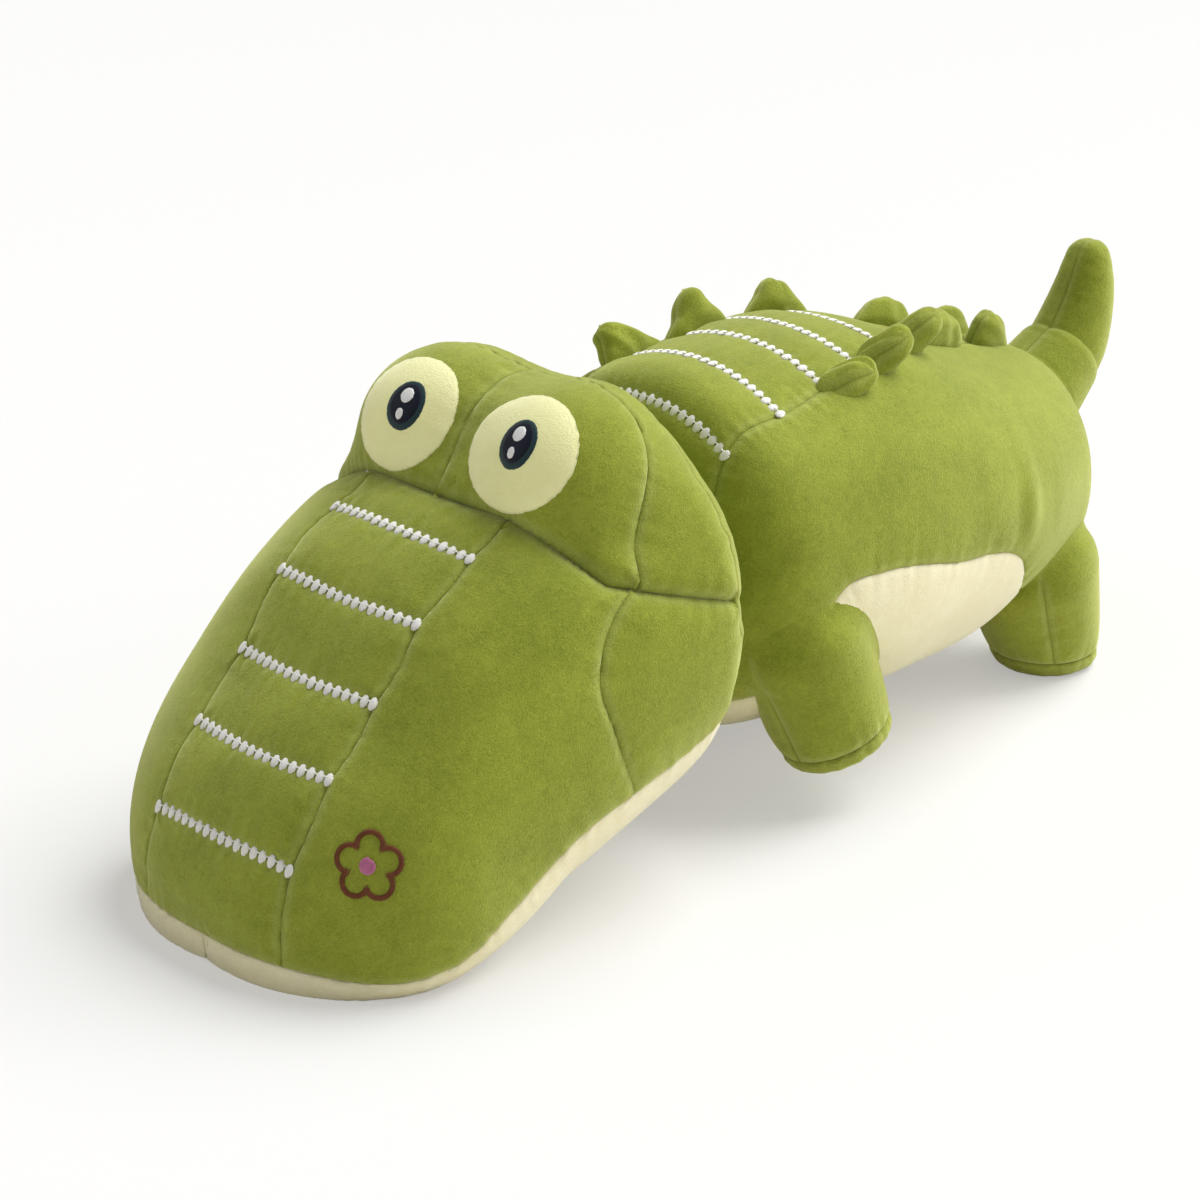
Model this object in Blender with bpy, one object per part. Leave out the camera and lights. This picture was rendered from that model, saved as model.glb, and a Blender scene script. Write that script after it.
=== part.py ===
"""A stuffed plush crocodile, lying on its chin and four feet.

The toy is sewn from short-pile panels round firm stuffing. It faces -Y, its left side is +X, and it stands
on Z = 0 with its origin under the middle of its length. Every cover panel, stuffing, sole, spike and
embroidery is one solid.
"""
import math

import bmesh
import bpy
import numpy as np
from mathutils import Vector
from mathutils.bvhtree import BVHTree

# Overall places and sizes, in metres. "Along" is measured back from the tip of the snout.
HEAD_LENGTH = 0.322
HEAD_HALF_WIDTH = 0.145
HEAD_HEIGHT = 0.245
HEAD_TIP_HEIGHT = 0.034
NECK_GAP = 0.002
BODY_LENGTH = 0.392
BODY_START = HEAD_LENGTH + NECK_GAP
BODY_END = BODY_START + BODY_LENGTH
BODY_HALF_WIDTH = 0.124
BODY_HALF_HEIGHT = 0.118
BODY_AXIS_HEIGHT = 0.139
EYE_DOME_RADIUS = 0.056
EYE_DOME_SIDE = 0.048
EYE_DOME_BACK = 0.084
EYE_DOME_ALONG = HEAD_LENGTH - EYE_DOME_BACK
EYE_DOME_HEIGHT = 0.2265
EYE_DOME_BLEND = 0.022

# Cloth and sewing sizes.
CLOTH = 0.0025
SEAM_GAP = 0.0005
FILL_GAP = 0.0009
LAY_GAP = 0.0003
TURN_GAP = 0.0005
MERGE = 0.000004

# How far in and out a surface is looked for.
REACH_IN = 0.03
REACH_OUT = 0.15

# The round plugs of stuffing that the joints turn on, and how far each joint swings.
NECK_ALONG = HEAD_LENGTH + NECK_GAP / 2
NECK_HEIGHT = 0.15
NECK_RADIUS = 0.046
LEG_ROOT_RADIUS = 0.042
LEG_FOOT_RADIUS = 0.034
LEG_SWING = math.radians(16.0)
FRONT_LEG_SIDE = 0.0865
FRONT_LEG_REACH = 0.0716
FRONT_LEG_ALONG = BODY_START + FRONT_LEG_REACH
FRONT_LEG_HEIGHT = 0.075
FRONT_FOOT_SIDE = 0.1026
FRONT_FOOT_REACH = 0.0074
FRONT_FOOT_ALONG = FRONT_LEG_ALONG + FRONT_FOOT_REACH
FRONT_FOOT_HEIGHT = 0.0306
REAR_LEG_SIDE = 0.067
REAR_LEG_REACH = 0.3014
REAR_LEG_ALONG = BODY_START + REAR_LEG_REACH
REAR_LEG_HEIGHT = 0.07
REAR_FOOT_REACH = 0.0216
REAR_FOOT_ALONG = REAR_LEG_ALONG + REAR_FOOT_REACH
SOLE_HEIGHT = 0.011
TAIL_ROOT_DEPTH = 0.018
TAIL_ROOT_ALONG = BODY_END - TAIL_ROOT_DEPTH
TAIL_ROOT_HEIGHT = 0.148
TAIL_ROOT_RADIUS = 0.033
TAIL_WAG = math.radians(23.0)
TAIL_CREASE_REACH = 0.041
TAIL_CREASE_RISE = 0.028
TAIL_CREASE_RADIUS = 0.0255
TAIL_BEND = math.radians(17.0)
TAIL_BACK_REACH = 0.0135
TAIL_BACK_RISE = 0.028
TAIL_BACK_RADIUS = 0.021
TAIL_TIP_REACH = 0.004
TAIL_TIP_RISE = 0.0425
TAIL_TIP_RADIUS = 0.0115
TOY_LENGTH = TAIL_ROOT_ALONG + TAIL_CREASE_REACH + TAIL_BACK_REACH + TAIL_BACK_RADIUS

# Where the panels' seams run.
SNOUT_PANEL_HALF = 0.055
BACK_PANEL_HALF = 0.062
BACK_PANEL_LOW = 0.165
BACK_SEAM_MARGIN = 0.016
BACK_SEAM_LENGTH = 0.34
BACK_SEAM_START = BODY_START + BACK_SEAM_MARGIN
BACK_SEAM_END = BACK_SEAM_START + BACK_SEAM_LENGTH
BROW_SEAM_REACH = 0.065
BROW_SEAM_ALONG = EYE_DOME_ALONG - BROW_SEAM_REACH
BROW_SEAM_HEIGHT = 0.227
BROW_SEAM_SLOPE = 0.8
BROW_END_REACH = 0.033
BROW_END_ALONG = EYE_DOME_ALONG - BROW_END_REACH
BROW_END_HEIGHT = 0.194
BROW_END_SLOPE = 0.33
NAPE_PANEL_DEPTH = 0.045
NAPE_SEAM_ALONG = HEAD_LENGTH - NAPE_PANEL_DEPTH
BELLY_HALF_WIDTH = 0.112
BELLY_PANEL_TOP = 0.105

# Trim sizes.
EYE_PATCH_RADIUS = 0.033
EYE_PATCH_SIDE = 0.048
EYE_PATCH_REACH = 0.038
EYE_PATCH_ALONG = EYE_DOME_ALONG - EYE_PATCH_REACH
EYE_PATCH_HEIGHT = 0.251
EYE_PATCH_THICK = 0.002
EYE_FACE_TILT = math.radians(36.0)
PUPIL_SIDE = 0.046
PUPIL_REACH = 0.043
PUPIL_ALONG = EYE_DOME_ALONG - PUPIL_REACH
PUPIL_HEIGHT = 0.2575
PUPIL_HALF_WIDTH = 0.0115
PUPIL_HALF_HEIGHT = 0.0142
PUPIL_THICK = 0.0012
GLINT_RADIUS = 0.0034
GLINT_RISE = 0.0052
SMALL_GLINT_RADIUS = 0.0022
SMALL_GLINT_DROP = 0.0052
GLINT_THICK = 0.0007
BEAD_PITCH = 0.0062
BEAD_HALF_BREADTH = 0.0036
BEAD_HALF_THICK = 0.0011
THREAD_HALF_BREADTH = 0.001
ROW_END_MARGIN = 0.003
SPIKE_THICK = 0.013
SPIKE_HEM = 0.0032
SPIKE_GAP = 0.001
MOTIF_ALONG = 0.052
MOTIF_HEIGHT = 0.077
MOTIF_SIDE = 0.082
MOTIF_RADIUS = 0.0145
MOTIF_WAVE = 0.0035
MOTIF_CORD_HALF = 0.0018
MOTIF_THICK = 0.0014
MOTIF_CENTRE_RADIUS = 0.0042

# Mesh fineness, as counts.
HEAD_AROUND = 16
BODY_AROUND = 16
LIMB_AROUND = 12
BALL_STEPS = 4
SPIKE_AROUND = 8
MOTIF_PETALS = 5
REFINEMENTS = 5
ROW_POINTS = 15
HALVINGS = 30

# Finishes, and the angle past which an edge looks sharp.
CLOTH_ROUGHNESS = 0.9
THREAD_ROUGHNESS = 0.5
SATIN_ROUGHNESS = 0.4
SHARP_ANGLE = math.radians(50.0)

# Shares, chosen by hand. Head stations run from the snout's tip to the nape, as shares of the head's length.
HEAD_STATION_SHARES = (0.008, 0.045, 0.11, 0.2, 0.3, 0.415, 0.52, 0.59, 0.665, 0.745, 0.83, 0.905, 0.965,
                       0.993)
HEAD_PLACE_SHARES = (0.0, 0.124, 0.248, 0.342, 0.466, 0.559, 0.7, 0.776, 0.87, 1.0)
HEAD_WIDTH_SHARES = (0.9, 0.9, 0.9, 0.91, 0.93, 0.95, 0.985, 1.0, 1.0, 0.93)
HEAD_AXIS_SHARES = (0.122, 0.143, 0.184, 0.237, 0.335, 0.408, 0.514, 0.563, 0.6, 0.612)
HEAD_TOP_SHARES = (0.143, 0.298, 0.429, 0.522, 0.531, 0.514, 0.475, 0.46, 0.45, 0.41)
HEAD_BOTTOM_SHARES = (0.17, 0.19, 0.236, 0.285, 0.355, 0.395, 0.43, 0.44, 0.41, 0.35)
HEAD_FRONT_SHARE = 0.28
HEAD_TOP_FRONT_SHARE = 0.12
HEAD_BOTTOM_FRONT_SHARE = 0.03
HEAD_REAR_SHARE = 0.2
HEAD_ROUNDNESS = 2.25
CROWN_ROUNDNESS = 2.75
CHIN_ROUNDNESS = 4.6
CHIN_ROUNDNESS_SHARE = 0.5

# Body stations, as shares of the body's length.
BODY_STATION_SHARES = (0.007, 0.035, 0.1, 0.22, 0.37, 0.52, 0.65, 0.77, 0.87, 0.95, 0.99)
BODY_PLACE_SHARES = (0.0, 0.066, 0.194, 0.321, 0.449, 0.577, 0.704, 0.832, 0.934, 1.0)
BODY_WIDTH_SHARES = (0.86, 0.9, 0.97, 1.0, 1.0, 0.98, 0.89, 0.74, 0.6, 0.53)
BODY_DEPTH_SHARES = (0.9, 0.93, 0.95, 0.98, 0.955, 0.87, 0.77, 0.67, 0.64, 0.62)
BODY_AXIS_SHARES = (1.0, 1.005, 1.007, 1.004, 0.986, 0.943, 0.915, 0.89, 0.88, 0.87)
BODY_FRONT_SHARE = 0.08
BODY_REAR_SHARE = 0.2
BODY_ROUNDNESS = 2.1

# Seam curves: the cream chin's edge, the cheek and crown seams by height, and how the back and belly panels
# narrow.
CHIN_PLACE_SHARES = (0.0, 0.155, 0.248, 0.342, 0.497, 0.621, 0.745, 0.87, 1.0)
CHIN_EDGE_SHARES = (0.065, 0.045, 0.075, 0.15, 0.27, 0.327, 0.367, 0.41, 0.45)
CHEEK_HEIGHT_SHARES = (0.25, 0.33, 0.39, 0.49, 0.616, 0.74, 0.8)
CHEEK_ALONG_SHARES = (0.62, 0.606, 0.584, 0.559, 0.543, 0.59, 0.637)
CROWN_HEIGHT_SHARES = (0.78, 0.857, 0.95, 1.033, 1.1, 1.2)
CROWN_ALONG_SHARES = (0.637, 0.66, 0.714, 0.76, 0.776, 0.776)
BACK_PLACE_SHARES = (0.0, 0.13, 0.25, 0.38, 0.5, 0.64, 0.8, 1.0)
BACK_WIDTH_SHARES = (1.0, 0.96, 0.86, 0.68, 0.5, 0.26, 0.12, 0.04)
BELLY_PLACE_SHARES = (0.0, 0.12, 0.3, 0.5, 0.62, 0.8, 1.0)
BELLY_EDGE_SHARES = (0.45, 0.85, 1.0, 0.93, 0.72, 0.42, 0.2)
SNOUT_ROW_SHARES = (0.046, 0.132, 0.232, 0.33, 0.456)
SNOUT_BOW_SHARES = (0.012, 0.018, 0.016, 0.016, 0.013)
BACK_ROW_SHARES = (0.045, 0.153, 0.26, 0.352, 0.449)

# Spikes, as shares of the body's length: start, end and height, then how far they lean outward and back.
RIGHT_SPIKE_SHARES = (
    (0.103, 0.235, 0.0621, 0.05, -0.6),
    (0.241, 0.375, 0.0552, 0.1, 0.1),
    (0.403, 0.523, 0.0493, 0.1, 0),
    (0.576, 0.704, 0.0474, 0.25, 0.1),
    (0.730, 0.831, 0.0434, 0.2, 0),
)
LEFT_SPIKE_SHARES = (
    (0.288, 0.381, 0.0722, 1, 0.7),
    (0.389, 0.482, 0.0722, 0.5, 0.3),
    (0.489, 0.584, 0.0700, 0.3, 0.2),
    (0.637, 0.768, 0.0631, 0.1, 0.05),
    (0.779, 0.878, 0.0552, 0.05, 0.05),
)
SPIKE_ROW_SHARES = (0.0, 0.2, 0.48, 0.76, 0.94)
SPIKE_BREADTH_SHARES = (1.0, 0.97, 0.82, 0.54, 0.25)
SPIKE_THICK_SHARES = (0.25, 0.7, 1.0, 0.75, 0.35)

# Rings of the leg and its sole, by how far along they lie and how broad they are, and how fine patches are.
LEG_RING_SHARES = (0.4, 0.75)
SOLE_RING_SHARES = ((1.0, 1.0), (0.55, 1.02), (0.2, 0.95), (0.0, 0.82))
PATCH_STEP_SHARE = 0.6
MOTIF_STEP_SHARE = 0.2

UP = Vector((0, 0, 1))
SIDEWAYS = Vector((1, 0, 0))
BACKWARD = Vector((0, 1, 0))

GREEN = (0.30, 0.36, 0.085)
CREAM = (0.80, 0.74, 0.50)
EYE_CREAM = (0.82, 0.80, 0.46)
NAVY = (0.012, 0.016, 0.03)
WHITE = (0.85, 0.85, 0.82)
SILVER = (0.68, 0.68, 0.62)
BROWN = (0.14, 0.05, 0.018)
PINK = (0.62, 0.19, 0.36)
FILLING = (0.86, 0.86, 0.84)


def follow(places, values, at):
    """A smooth curve through (place, value) pairs, read at the places asked for."""
    places = np.asarray(places, float)
    values = np.asarray(values, float)
    slopes = np.gradient(values, places)
    index = np.clip(np.searchsorted(places, at) - 1, 0, len(places) - 2)
    span = places[index + 1] - places[index]
    t = np.clip((at - places[index]) / span, 0, 1)
    low = values[index] * (1 + 2 * t) * (1 - t) ** 2 + slopes[index] * span * t * (1 - t) ** 2
    high = values[index + 1] * t * t * (3 - 2 * t) + slopes[index + 1] * span * t * t * (t - 1)
    return low + high


def round_end(distance, length):
    """From 0 at the end of a form to 1 where its rounding stops."""
    q = np.clip(distance / length, 0, 1)
    return np.sqrt(1 - (1 - q) ** 2)


def ring_radius(angle, width, top, bottom, top_roundness, bottom_roundness):
    """The radius of a rounded section at an angle from +X towards +Z."""
    upper = np.sin(angle) > 0
    height = np.where(upper, top, bottom)
    roundness = np.where(upper, top_roundness, bottom_roundness)
    across = np.abs(np.cos(angle)) / np.maximum(width, MERGE)
    up = np.abs(np.sin(angle)) / np.maximum(height, MERGE)
    return (across ** roundness + up ** roundness) ** (-1 / roundness)


def head_axis(along):
    return follow(HEAD_PLACE_SHARES, HEAD_AXIS_SHARES, along / HEAD_LENGTH) * HEAD_HEIGHT


def head_base_radius(along, angle):
    """The head's section without the eye domes: boxy along the chin, and full at the crown."""
    share = along / HEAD_LENGTH
    rear = round_end(HEAD_LENGTH - along, HEAD_LENGTH * HEAD_REAR_SHARE)
    front = round_end(along, HEAD_LENGTH * HEAD_FRONT_SHARE)
    top_front = round_end(along, HEAD_LENGTH * HEAD_TOP_FRONT_SHARE)
    bottom_front = round_end(along, HEAD_LENGTH * HEAD_BOTTOM_FRONT_SHARE)
    width = follow(HEAD_PLACE_SHARES, HEAD_WIDTH_SHARES, share) * HEAD_HALF_WIDTH * front * rear
    top = follow(HEAD_PLACE_SHARES, HEAD_TOP_SHARES, share) * HEAD_HEIGHT * top_front * rear
    bottom = follow(HEAD_PLACE_SHARES, HEAD_BOTTOM_SHARES, share) * HEAD_HEIGHT * bottom_front * rear
    boxy = np.clip(1 - share / CHIN_ROUNDNESS_SHARE, 0, 1)
    chin = HEAD_ROUNDNESS + (CHIN_ROUNDNESS - HEAD_ROUNDNESS) * boxy
    crown = HEAD_ROUNDNESS + (CROWN_ROUNDNESS - HEAD_ROUNDNESS) * np.clip(share, 0, 1)
    return ring_radius(angle, width, top, bottom, crown, chin)


def head_field(x, along, z):
    """Below zero inside the head: its long form and two eye domes, softly joined."""
    rise = z - head_axis(along)
    base = np.hypot(x, rise) - head_base_radius(along, np.arctan2(rise, x))
    dome = np.sqrt((np.abs(x) - EYE_DOME_SIDE) ** 2 + (along - EYE_DOME_ALONG) ** 2
                   + (z - EYE_DOME_HEIGHT) ** 2) - EYE_DOME_RADIUS
    near = np.clip(0.5 + 0.5 * (dome - base) / EYE_DOME_BLEND, 0, 1)
    return dome + (base - dome) * near - EYE_DOME_BLEND * near * (1 - near)


def head_point(along, angle):
    """The head's surface at a place along it and an angle round it, flat where it lies on the floor."""
    low = 0 * angle
    high = head_base_radius(along, angle) + EYE_DOME_RADIUS
    for _ in range(HALVINGS):
        middle = (low + high) / 2
        inside = head_field(middle * np.cos(angle), along, head_axis(along) + middle * np.sin(angle)) < 0
        low = np.where(inside, middle, low)
        high = np.where(inside, high, middle)
    z = np.maximum(head_axis(along) + low * np.sin(angle), 0)
    return np.stack([low * np.cos(angle), along + 0 * angle, z], -1)


def body_section(along):
    """The body's half width, half depth and axis height at a place along the toy."""
    length = BODY_END - BODY_START
    share = np.clip((along - BODY_START) / length, 0, 1)
    ends = round_end(along - BODY_START, length * BODY_FRONT_SHARE)
    ends = ends * round_end(BODY_END - along, length * BODY_REAR_SHARE)
    width = follow(BODY_PLACE_SHARES, BODY_WIDTH_SHARES, share) * BODY_HALF_WIDTH * ends
    depth = follow(BODY_PLACE_SHARES, BODY_DEPTH_SHARES, share) * BODY_HALF_HEIGHT * ends
    axis = follow(BODY_PLACE_SHARES, BODY_AXIS_SHARES, share) * BODY_AXIS_HEIGHT
    return width, depth, axis


def body_point(along, angle):
    """The body's surface at a place along the toy and an angle round it."""
    width, depth, axis = body_section(along)
    radius = ring_radius(angle, width, depth, depth, BODY_ROUNDNESS, BODY_ROUNDNESS)
    return np.stack([radius * np.cos(angle), along + 0 * angle, axis + radius * np.sin(angle)], -1)


def body_field(x, along, z):
    """Below zero inside the body."""
    width, depth, axis = body_section(along)
    rise = z - axis
    angle = np.arctan2(rise, x)
    return np.hypot(x, rise) - ring_radius(angle, width, depth, depth, BODY_ROUNDNESS, BODY_ROUNDNESS)


def lay_on(field, points, way):
    """Move points along a way onto a form's surface, and give the surface's outward ways there too."""
    points = np.atleast_2d(np.asarray(points, float))
    way = np.asarray(way, float) / np.linalg.norm(way)
    low = np.full(len(points), -REACH_IN)
    high = np.full(len(points), REACH_OUT)
    for _ in range(HALVINGS):
        middle = (low + high) / 2
        inside = field(*(points + middle[:, None] * way).T) < 0
        low = np.where(inside, middle, low)
        high = np.where(inside, high, middle)
    feet = points + low[:, None] * way
    slopes = np.stack([field(*(feet + step).T) - field(*(feet - step).T) for step in np.eye(3) * CLOTH], -1)
    return feet, slopes / np.linalg.norm(slopes, axis=1, keepdims=True)


def on_facets(tree, feet, outs):
    """The same feet on the facets of the form's mesh, in the toy's own frame."""
    starts = toy_frame(feet) + outs * REACH_IN
    return np.array([tree.ray_cast(Vector(start), Vector(-out))[0] for start, out in zip(starts, outs)])


def toy_frame(points):
    """From distances behind the snout's tip to the toy's own frame."""
    return np.asarray(points, float) - np.array([0, TOY_LENGTH / 2, 0])


def skin(rings, first, last):
    """A closed mesh through rings of points, with a pole at each end."""
    mesh = bmesh.new()
    loops = [[mesh.verts.new(point) for point in ring] for ring in rings]
    poles = mesh.verts.new(first), mesh.verts.new(last)
    around = len(loops[0])
    for a, b in zip(loops, loops[1:]):
        for i in range(around):
            mesh.faces.new((a[i], a[(i + 1) % around], b[(i + 1) % around], b[i]))
    for i in range(around):
        mesh.faces.new((loops[0][(i + 1) % around], loops[0][i], poles[0]))
        mesh.faces.new((loops[-1][i], loops[-1][(i + 1) % around], poles[1]))
    bmesh.ops.recalc_face_normals(mesh, faces=mesh.faces)
    bmesh.ops.triangulate(mesh, faces=mesh.faces)
    mesh.normal_update()
    return mesh


def head_form():
    angles = (np.arange(HEAD_AROUND) + 0.5) * 2 * math.pi / HEAD_AROUND
    rings = [toy_frame(head_point(share * HEAD_LENGTH, angles)) for share in HEAD_STATION_SHARES]
    tip = toy_frame((0, 0, HEAD_TIP_HEIGHT))
    nape = toy_frame((0, HEAD_LENGTH, head_axis(HEAD_LENGTH)))
    return skin(rings, tip, nape)


def body_form():
    angles = (np.arange(BODY_AROUND) + 0.5) * 2 * math.pi / BODY_AROUND
    length = BODY_END - BODY_START
    rings = [toy_frame(body_point(BODY_START + share * length, angles)) for share in BODY_STATION_SHARES]
    chest = toy_frame((0, BODY_START, body_section(BODY_START)[2]))
    rump = toy_frame((0, BODY_END, body_section(BODY_END)[2]))
    return skin(rings, chest, rump)


def ring_round(centre, way, radius, shift=0.5):
    """A ring of points square to a way. It starts from the toy's sideways line, so that rings never twist."""
    side = (SIDEWAYS - way * way.x).normalized()
    over = way.cross(side)
    turns = [2 * math.pi * (i + shift) / LIMB_AROUND for i in range(LIMB_AROUND)]
    return [centre + (side * math.cos(turn) + over * math.sin(turn)) * radius for turn in turns]


def cut(mesh, layer, piece, field):
    """Cut the faces of one piece along the line where field is zero."""
    faces = [face for face in mesh.faces if face[layer] == piece]
    values = {vert: field(vert.co) for face in faces for vert in face.verts}
    mesh.edges.index_update()
    edges = {edge for face in faces for edge in face.edges}
    on_line = []
    for edge in sorted(edges, key=lambda item: item.index):
        a, b = edge.verts
        if values[a] * values[b] < 0:
            share = values[a] / (values[a] - values[b])
            on_line.append(bmesh.utils.edge_split(edge, a, share)[1])
    others = [face for face in mesh.faces if face[layer] != piece]
    bmesh.ops.connect_verts(mesh, verts=on_line, faces_exclude=others)


def sew_line(mesh, layer, piece, field, new_piece):
    """Part one piece in two along a seam: the side above zero becomes new_piece, and the seam is left out."""
    cut(mesh, layer, piece, lambda point: field(point) - SEAM_GAP / 2)
    cut(mesh, layer, piece, lambda point: field(point) + SEAM_GAP / 2)
    for face in mesh.faces:
        if face[layer] != piece:
            continue
        mean = sum(field(vert.co) for vert in face.verts) / len(face.verts)
        if mean > SEAM_GAP / 2:
            face[layer] = new_piece
        elif mean > -SEAM_GAP / 2:
            face[layer] = -1


def finish_material(name, colour, roughness):
    material = bpy.data.materials.new(name)
    material.use_nodes = True
    shader = material.node_tree.nodes["Principled BSDF"]
    shader.inputs["Base Color"].default_value = (*colour, 1)
    shader.inputs["Roughness"].default_value = roughness
    shader.inputs["Metallic"].default_value = 0.0
    return material


def place(name, mesh, colour, joint=None, roughness=CLOTH_ROUGHNESS):
    """Make the object of one sub-part, with its origin on the joint it turns on."""
    bmesh.ops.remove_doubles(mesh, verts=mesh.verts, dist=MERGE)
    bmesh.ops.triangulate(mesh, faces=mesh.faces)
    if joint is not None:
        bmesh.ops.translate(mesh, verts=mesh.verts, vec=-joint.location)
    data = bpy.data.meshes.new(name)
    mesh.to_mesh(data)
    mesh.free()
    data.shade_smooth()
    data.set_sharp_from_angle(angle=SHARP_ANGLE)
    part = bpy.data.objects.new(name, data)
    part.parent = joint
    part.data.materials.append(finish_material(name, colour, roughness))
    bpy.context.collection.objects.link(part)
    return part


def joint_empty(name, point):
    empty = bpy.data.objects.new(name, None)
    empty.location = point
    bpy.context.collection.objects.link(empty)
    return empty


def panel(mesh, layer, depth_layer, piece, outer_rise=0.0, inner_rise=-CLOTH):
    """The cloth of one piece: its faces outside, the same faces deeper inside, and a rim between them."""
    cloth = bmesh.new()
    outer = {}
    inner = {}
    faces = [face for face in mesh.faces if face[layer] == piece]
    for face in faces:
        for vert in face.verts:
            if vert not in outer:
                outer[vert] = cloth.verts.new(vert.co + vert[depth_layer] * outer_rise)
                inner[vert] = cloth.verts.new(vert.co + vert[depth_layer] * inner_rise)
    for face in faces:
        cloth.faces.new([outer[vert] for vert in face.verts])
        cloth.faces.new([inner[vert] for vert in reversed(face.verts)])
        for loop in face.loops:
            joined = [item for item in loop.edge.link_faces if item[layer] == piece]
            if len(joined) == 1:
                a, b = loop.vert, loop.link_loop_next.vert
                cloth.faces.new((outer[b], outer[a], inner[a], inner[b]))
    return cloth


def carry_normals(mesh):
    """Give a mesh a layer for its pieces, and one that keeps its smooth outward ways through every cut."""
    layer = mesh.faces.layers.int.new("piece")
    depth_layer = mesh.verts.layers.float_vector.new("depth")
    for vert in mesh.verts:
        vert[depth_layer] = vert.normal
    return layer, depth_layer


def inset(mesh):
    """The stuffing of a form: the same shape, smaller all round by the cloth."""
    filling = mesh.copy()
    for vert in filling.verts:
        vert.co -= vert.normal * (CLOTH + FILL_GAP)
    return filling


def covers(mesh, seams, names, colours, joint):
    """Part a form along its seams and make each panel."""
    layer, depth_layer = carry_normals(mesh)
    for piece, field, new_piece in seams:
        sew_line(mesh, layer, piece, field, new_piece)
    parts = {}
    for piece, name in enumerate(names):
        if name:
            parts[name] = place(name, panel(mesh, layer, depth_layer, piece), colours[piece], joint)
    mesh.free()
    return parts


def ball_rings(centre, way, radius, first, count, shift=0.5):
    """Rings of a ball, counted in steps from the pole behind its centre."""
    rings = []
    for index in range(count):
        turn = math.pi / 2 * (first + index) / BALL_STEPS
        middle = centre - way * (radius * math.cos(turn))
        rings.append(ring_round(middle, way, radius * math.sin(turn), shift))
    return rings


def pocket(name, centre, way, radius, flare=0.0, reach=0.0):
    """A cutter for the hollow round a ball root, its facets square to the ball's corners.

    It can open out along a limb, so that the limb has room to swing.
    """
    half_step = math.pi / 4 / BALL_STEPS
    radius = (radius + TURN_GAP) / (math.cos(math.pi / LIMB_AROUND) * math.cos(half_step))
    pole = way * (radius * math.cos(half_step))
    if reach:
        rings = ball_rings(centre, way, radius, 0.5, BALL_STEPS, 0)
        rings.append(ring_round(centre + way * reach, way, radius + reach * math.tan(flare), 0))
        mesh = skin(rings, centre - pole, centre + way * reach)
    else:
        mesh = skin(ball_rings(centre, way, radius, 0.5, 2 * BALL_STEPS, 0), centre - pole, centre + pole)
    data = bpy.data.meshes.new(name)
    mesh.to_mesh(data)
    mesh.free()
    cutter = bpy.data.objects.new(name, data)
    bpy.context.collection.objects.link(cutter)
    cutter.hide_render = True
    cutter.display_type = "WIRE"
    return cutter


def subtract(part, cutter):
    boolean = part.modifiers.new(cutter.name, "BOOLEAN")
    boolean.operation = "DIFFERENCE"
    boolean.object = cutter
    boolean.solver = "EXACT"


def along_of(point):
    return point.y + TOY_LENGTH / 2


def chin_field(point):
    """Above zero on the green side of the chin's edge."""
    edge = follow(CHIN_PLACE_SHARES, CHIN_EDGE_SHARES, along_of(point) / HEAD_LENGTH) * HEAD_HEIGHT
    return point.z - float(edge)


def brow_field(point):
    """Above zero on the brow's side: behind the bridge of the snout and above the cheek."""
    behind = along_of(point) - BROW_SEAM_ALONG - BROW_SEAM_SLOPE * (BROW_SEAM_HEIGHT - point.z)
    above = point.z - BROW_END_HEIGHT + BROW_END_SLOPE * (along_of(point) - BROW_END_ALONG)
    return min(behind / math.hypot(1, BROW_SEAM_SLOPE), above / math.hypot(1, BROW_END_SLOPE))


def cheek_field(point):
    """Above zero on the cheek, behind the snout's side panel."""
    edge = follow(CHEEK_HEIGHT_SHARES, CHEEK_ALONG_SHARES, point.z / HEAD_HEIGHT) * HEAD_LENGTH
    return along_of(point) - float(edge)


def crown_field(point):
    """Above zero on the crown, behind the arched seam over the eyes."""
    edge = follow(CROWN_HEIGHT_SHARES, CROWN_ALONG_SHARES, point.z / HEAD_HEIGHT) * HEAD_LENGTH
    return along_of(point) - float(edge)


def back_half(along):
    """Half the width of the back's middle panel."""
    share = np.clip((along - BACK_SEAM_START) / (BACK_SEAM_END - BACK_SEAM_START), 0, 1)
    return follow(BACK_PLACE_SHARES, BACK_WIDTH_SHARES, share) * BACK_PANEL_HALF


def back_field(point):
    """Above zero outside the back's middle panel."""
    return max(abs(point.x) - back_half(along_of(point)), BACK_PANEL_LOW - point.z)


def belly_field(point):
    """Above zero on the cream belly."""
    share = np.clip((along_of(point) - BODY_START) / (BODY_END - BODY_START), 0, 1)
    half = float(follow(BELLY_PLACE_SHARES, BELLY_EDGE_SHARES, share)) * BELLY_HALF_WIDTH
    return min(half - abs(point.x), BELLY_PANEL_TOP - point.z)


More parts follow.
